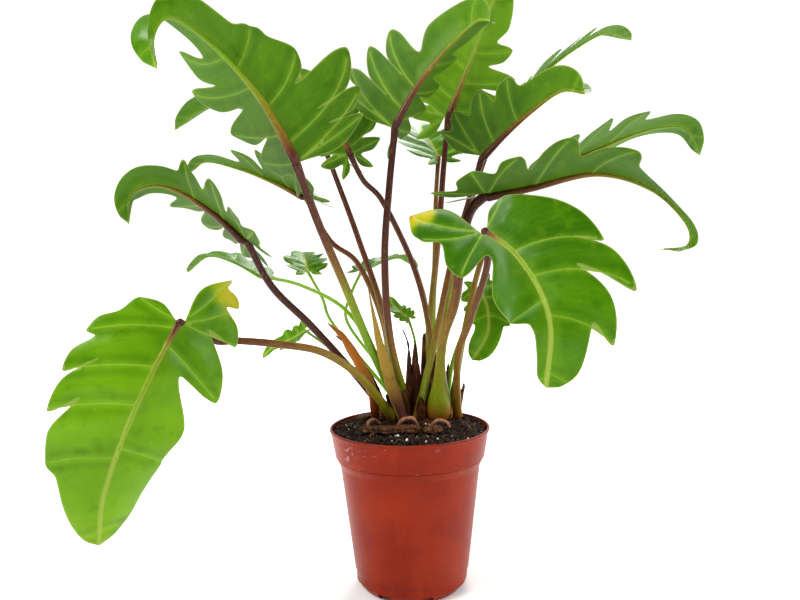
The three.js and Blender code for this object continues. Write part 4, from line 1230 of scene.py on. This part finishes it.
grow_young_leaf(
    "small_centre",
    root=(11, 26), radii=(1.6, 1),
    stalk=[(8, 34, 155), (6, 42, 178), (1, 48, 196)],
    midrib=[(-5, 52, 201), (-11, 58, 206), (-15, 62, 214)],
    facing=[(0.1, -0.7, 0.7), (0.1, -0.6, 0.8), (0.3, -0.6, 0.7), (0.5, -0.7, 0.6)],
    fold=10, wave=(1, 2, 0), width=1.1,
    tone=0.6, red=(0.05, 0.05, 0.05, 0.1, 0.1, 0.05, 0, 0),
)

# ---- Dry sheaths ----
# Papery scales that wrapped young leaves as they unrolled, now dry and split: one dull tan, one
# bright orange with cream edges. Each is a curled strip that tapers to a point.
SHEATH_THICKNESS = 0.5


def curled_strip(route, width, opening, twist, ragged):
    """A strip along route, curled across its width into a half tube whose back is to the front."""
    way = smooth_way(route, 16)
    ahead = unit(np.gradient(way, axis=0))
    rows, columns = len(way), 13
    outer, inner, across, along = [], [], [], []
    side = np.array((0.3, -1.0, 0.2))
    for i in range(rows):
        share = i / (rows - 1)
        side = unit(side - ahead[i] * np.dot(side, ahead[i]))
        other = np.cross(ahead[i], side)
        half = width * (0.32 + 0.68 * math.sin(math.pi * min(1, 0.12 + 0.8 * share)) ** 0.8)
        half = half * (1 - share**3) + 0.35
        for j in range(columns):
            place = 2 * j / (columns - 1) - 1
            turn = place * math.pi * opening + twist * share
            torn = 1 + ragged * noise.noise(Vector((share * 9, place * 2, width)))
            spoke = math.cos(turn) * side + math.sin(turn) * other
            ridge = 0.12 * math.cos(place * 21)
            outer.append(way[i] + spoke * (half * torn + ridge))
            inner.append(way[i] + spoke * (half * torn + ridge - SHEATH_THICKNESS))
            across.append(abs(place))
            along.append(share)
    traits = {"across": across * 2, "along": along * 2}
    return np.array(outer + inner), sheet_faces(rows, columns), traits


def sheath_finish(name, body, foot, margin):
    """Dry papery skin with long fibres; body, foot and margin are its colours there."""
    paint = Finish(name)
    across, along = paint.trait("across"), paint.trait("along")
    weave = paint.node("ShaderNodeCombineXYZ", sockets={"X": across * 6.0, "Y": along * 1.2})
    fibre = paint.noise(weave, 3.0, 5, 0.65)
    blotch = paint.noise(paint.place(), 120, 4)
    skin = paint.mix(along.between(0.55, 0.1), body, foot)
    skin = paint.mix(across.between(0.72, 0.96), skin, margin)
    bared = fibre.between(0.4, 0.7) * along.between(0.1, 0.5) * 0.4
    skin = paint.mix(bared, skin, (0.60, 0.40, 0.14))
    skin = paint.mix(blotch.between(0.58, 0.72) * 0.6, skin, (0.12, 0.05, 0.03))
    normal = paint.bump(fibre, 0.0007, 0.7)
    surface = paint.principled(
        Base_Color=skin, Roughness=fibre * 0.25 + 0.4, Normal=normal, Specular_IOR_Level=0.25
    )
    lit = paint.node("ShaderNodeBsdfTranslucent", sockets={"Color": body})
    return paint.close(paint.node("ShaderNodeMixShader", sockets={0: 0.25, 1: surface, 2: lit}))


tan_paint = sheath_finish(
    "tan_sheath", (0.46, 0.30, 0.045), (0.075, 0.014, 0.008), (0.50, 0.38, 0.09)
)
tan = curled_strip(
    [(-3, -17, 121), (-13, -14, 150), (-21, -21, 179), (-28, -26, 222)], 5.2, 0.42, 0.5, 0.25
)
settle(make_piece("tan_sheath", *tan), tan_paint, "dry_sheath", "sheath_tan")
orange_paint = sheath_finish(
    "orange_sheath", (0.44, 0.14, 0.010), (0.20, 0.045, 0.010), (0.60, 0.36, 0.10)
)
orange = curled_strip(
    [(-26, 1, 121), (-28, -16, 150), (-45, -24, 185), (-57, -30, 199)], 3.7, 0.5, -0.4, 0.25
)
settle(make_piece("orange_sheath", *orange), orange_paint, "dry_sheath", "sheath_orange")

# ---- Dead stubs ----
# What is left of two old stalks: thin, shrivelled, almost black, with split and frayed ends.
DEAD_STUBS = {
    "stub_left": ([(-17, 15, 124), (-28, 10, 153), (-43, 6, 175), (-55, 2, 187)], 1.7, 0.5),
    "stub_centre": ([(7, 8, 124), (2, 4, 153), (0, 0, 179), (-4, -2, 191)], 1.7, 0.5),
}


STRAND_SIDES = 16


def rough_strand(route, thick, thin, lumpiness, seed):
    """A tube whose thickness wanders: thick at its start, thin at its end."""
    way = even_way(smooth_way(route, 12), 1.0)
    share = np.linspace(0, 1, len(way))
    wander = [1 + lumpiness * noise.noise(Vector((seed, 0, k * 0.22))) for k in range(len(way))]
    radii = (thick + (thin - thick) * share) * np.array(wander)
    radii[-1] *= 0.4

    def creased(angle, place):
        spot = Vector((math.cos(angle) * 1.6, math.sin(angle) * 1.6, place * 5 + seed))
        return 1 + 0.3 * lumpiness * noise.noise(spot)

    return sweep(way, radii, STRAND_SIDES, (1, 0.3, 0), creased)


def dry_finish(name, dark, light):
    """Dead plant matter, streaked between its dark and its light colour."""
    paint = Finish(name)
    grain = paint.noise(paint.stretch(paint.place(), (1, 1, 0.25)), 500, 5, 0.7)
    skin = paint.ramp(grain, (0.35, dark), (0.68, light))
    normal = paint.bump(grain, 0.0006, 0.8)
    surface = paint.principled(
        Base_Color=skin, Roughness=grain * 0.2 + 0.6, Normal=normal, Specular_IOR_Level=0.2
    )
    return paint.close(surface)


stub_paint = dry_finish("dead_stalk", (0.012, 0.005, 0.004), (0.085, 0.035, 0.020))
for seed, (name, (route, thick, thin)) in enumerate(DEAD_STUBS.items()):
    stub = make_piece("dead_" + name, *rough_strand(route, thick, thin, 0.5, seed))
    settle(stub, stub_paint, "dead_stalk", name)

# ---- Surface roots ----
# Aerial roots that leave the crown, arch over the soil and dive into it: firm, pinkish brown, and
# ringed with fine creases.
ROOTS = {
    "root_front": ([(-9, -20, 121), (-5, -22, 127), (2, -22, 128), (6, -20, 121)], 1.7, 1.4),
    "root_right": ([(16, -17, 121), (20, -22, 126), (26, -24, 125.5), (29, -24, 121)], 1.7, 1.2),
    "root_left": ([(-22, -9, 121), (-26, -13, 125.5), (-30, -18, 125), (-31, -21, 121)], 1.5, 1.1),
}
root_paint = dry_finish("root_skin", (0.16, 0.055, 0.030), (0.46, 0.24, 0.15))
for seed, (name, (route, thick, thin)) in enumerate(ROOTS.items()):
    root = make_piece("aerial_" + name, *rough_strand(route, thick, thin, 0.18, seed + 7))
    settle(root, root_paint, "root", name)

# ---- Bark chips ----
# Loose chips of composted bark on the soil; the longest lies along the front of the rim.
BARK_CHIPS = {  # middle, half sizes, turn in degrees
    "bark_long": ((-14, -33, 123.2), (21, 4, 1.8), -4),
    "bark_short": ((16, -35, 123), (7, 4, 1.6), 24),
    "bark_back": ((-34, 8, 123), (6, 4.5, 1.6), 60),
}


def chip_mesh(middle, half, turn, seed):
    """A rough split chip: a dense rounded slab, broken at the ends and grained along its length."""
    slab = bmesh.new()
    bmesh.ops.create_cube(slab, size=2)
    bmesh.ops.subdivide_edges(slab, edges=slab.edges[:], cuts=15, use_grid_fill=True)
    points = np.array([v.co[:] for v in slab.verts])
    faces = [tuple(v.index for v in f.verts) for f in slab.faces]
    slab.free()
    points = points / (np.sum(points**6, axis=1)[:, None]) ** (1 / 6)
    out = []
    for x, y, z in points:
        spot = Vector((x * half[0] / 5, y * half[1] / 2, z + seed * 9))
        grain = 0.5 * noise.noise(Vector((x * half[0] / 12, y * 5, z * 3 + seed * 5)))
        ends = 1 + 0.22 * noise.noise(Vector((y * 4, z * 3, seed * 4)))
        bulk = (1 + 0.35 * noise.noise(spot)) * (1 - 0.45 * x**6)
        out.append((x * ends, y * bulk + 0.4 * grain, z * bulk + grain))
    cosine, sine = math.cos(math.radians(turn)), math.sin(math.radians(turn))
    spin = np.array(((cosine, sine, 0), (-sine, cosine, 0), (0, 0, 1)))
    return (np.array(out) * half) @ spin + middle, faces


bark_paint = dry_finish("bark_chip", (0.018, 0.007, 0.003), (0.20, 0.09, 0.04))
for seed, (name, (middle, half, turn)) in enumerate(BARK_CHIPS.items()):
    chip = make_piece("chip_" + name, *chip_mesh(middle, half, turn, seed))
    settle(chip, bark_paint, "bark", name)

# ---- Studio ----
# A white sweep under soft light: a large lamp on the upper left, a weaker one on the right, one
# behind, and a room that is white behind the plant and darker in front of it.
floor_mesh = bpy.data.meshes.new("floor")
floor_mesh.from_pydata([(-6, -6, 0), (6, -6, 0), (6, 6, 0), (-6, 6, 0)], [], [(0, 1, 2, 3)])
floor = bpy.data.objects.new("floor", floor_mesh)
bpy.context.scene.collection.objects.link(floor)
paper = Finish("white_floor")
away = paper.node("ShaderNodeVectorMath", {"operation": "LENGTH"}, {0: paper.place()}, "Value")
glow = paper.mix(away.between(0.25, 1.2), (0.0, 0.0, 0.0), (0.7, 0.7, 0.7))
sweep_paper = paper.principled(
    Base_Color=(0.93, 0.93, 0.93, 1), Roughness=0.9, Emission_Color=glow, Emission_Strength=1.0,
)
floor_mesh.materials.append(paper.close(sweep_paper))


def soft_lamp(name, place, target, size, watts):
    lamp = bpy.data.lights.new(name, "AREA")
    lamp.shape = "DISK"
    lamp.size = size
    lamp.energy = watts
    body = bpy.data.objects.new(name, lamp)
    body.location = place
    body.rotation_euler = (Vector(target) - Vector(place)).to_track_quat("-Z", "Y").to_euler()
    bpy.context.scene.collection.objects.link(body)


FILL_FRONT = 0.36
FILL_SIDE = 0.85
MIRROR_DIM = 0.03
MIRROR_BRIGHT = 0.8
soft_lamp("key_lamp", (-1.3, -0.8, 1.7), (0, 0, 0.2), 0.9, 36)
soft_lamp("side_lamp", (1.6, -0.2, 0.9), (0, 0, 0.2), 0.9, 15)
soft_lamp("back_lamp", (0.3, 1.5, 1.5), (0, 0, 0.25), 1.2, 22)

world = bpy.data.worlds.new("white_room")
world.use_nodes = True
room = world.node_tree
room.nodes.clear()


def room_node(kind, settings=None, sockets=None, give=0):
    """One node of the room's light; sockets hold values, or other nodes' outputs."""
    made = room.nodes.new(kind)
    for name, value in (settings or {}).items():
        setattr(made, name, value)
    for name, value in (sockets or {}).items():
        if isinstance(value, bpy.types.NodeSocket):
            room.links.new(value, made.inputs[name])
        else:
            made.inputs[name].default_value = value
    return made.outputs[give] if made.outputs else None


# behind the camera the room is dark, so that gloss stays clear; behind the plant it is bright
heading = room_node("ShaderNodeTexCoord")
depth = room_node("ShaderNodeSeparateXYZ", sockets={0: heading}, give="Y")
mirrored = room_node(
    "ShaderNodeMapRange", sockets={0: depth, 1: -0.1, 2: 0.7, 3: MIRROR_DIM, 4: MIRROR_BRIGHT}
)
kind_of_ray = room_node("ShaderNodeLightPath", give="Is Glossy Ray")
sideways = room_node("ShaderNodeSeparateXYZ", sockets={0: heading}, give="X")
aside = room_node("ShaderNodeMath", {"operation": "ABSOLUTE"}, {0: sideways})
filled = room_node(
    "ShaderNodeMapRange", sockets={0: aside, 1: 0.0, 2: 1.0, 3: FILL_FRONT, 4: FILL_SIDE}
)
fill = room_node("ShaderNodeBackground", sockets={"Color": (1, 1, 1, 1), "Strength": filled})
mirror = room_node("ShaderNodeBackground", sockets={"Color": (1, 1, 1, 1), "Strength": mirrored})
indirect = room_node("ShaderNodeMixShader", sockets={0: kind_of_ray, 1: fill, 2: mirror})
backdrop = room_node("ShaderNodeBackground", sockets={"Color": (1, 1, 1, 1), "Strength": 1.0})
direct = room_node("ShaderNodeLightPath")
chosen = room_node("ShaderNodeMixShader", sockets={0: direct, 1: indirect, 2: backdrop})
room_node("ShaderNodeOutputWorld", sockets={0: chosen})
bpy.context.scene.world = world
bpy.context.scene.view_settings.view_transform = "Standard"
bpy.context.scene.view_settings.look = "Medium High Contrast"

lens = bpy.data.cameras.new("front_camera")
lens.lens = 28.08
lens.sensor_width = 36
lens.clip_start = 0.01
camera = bpy.data.objects.new("front_camera", lens)
camera.location = (-0.0053, -0.470, 0.229)
camera.rotation_euler = (math.radians(88.05), math.radians(1.0), 0)
bpy.context.scene.collection.objects.link(camera)
bpy.context.scene.camera = camera
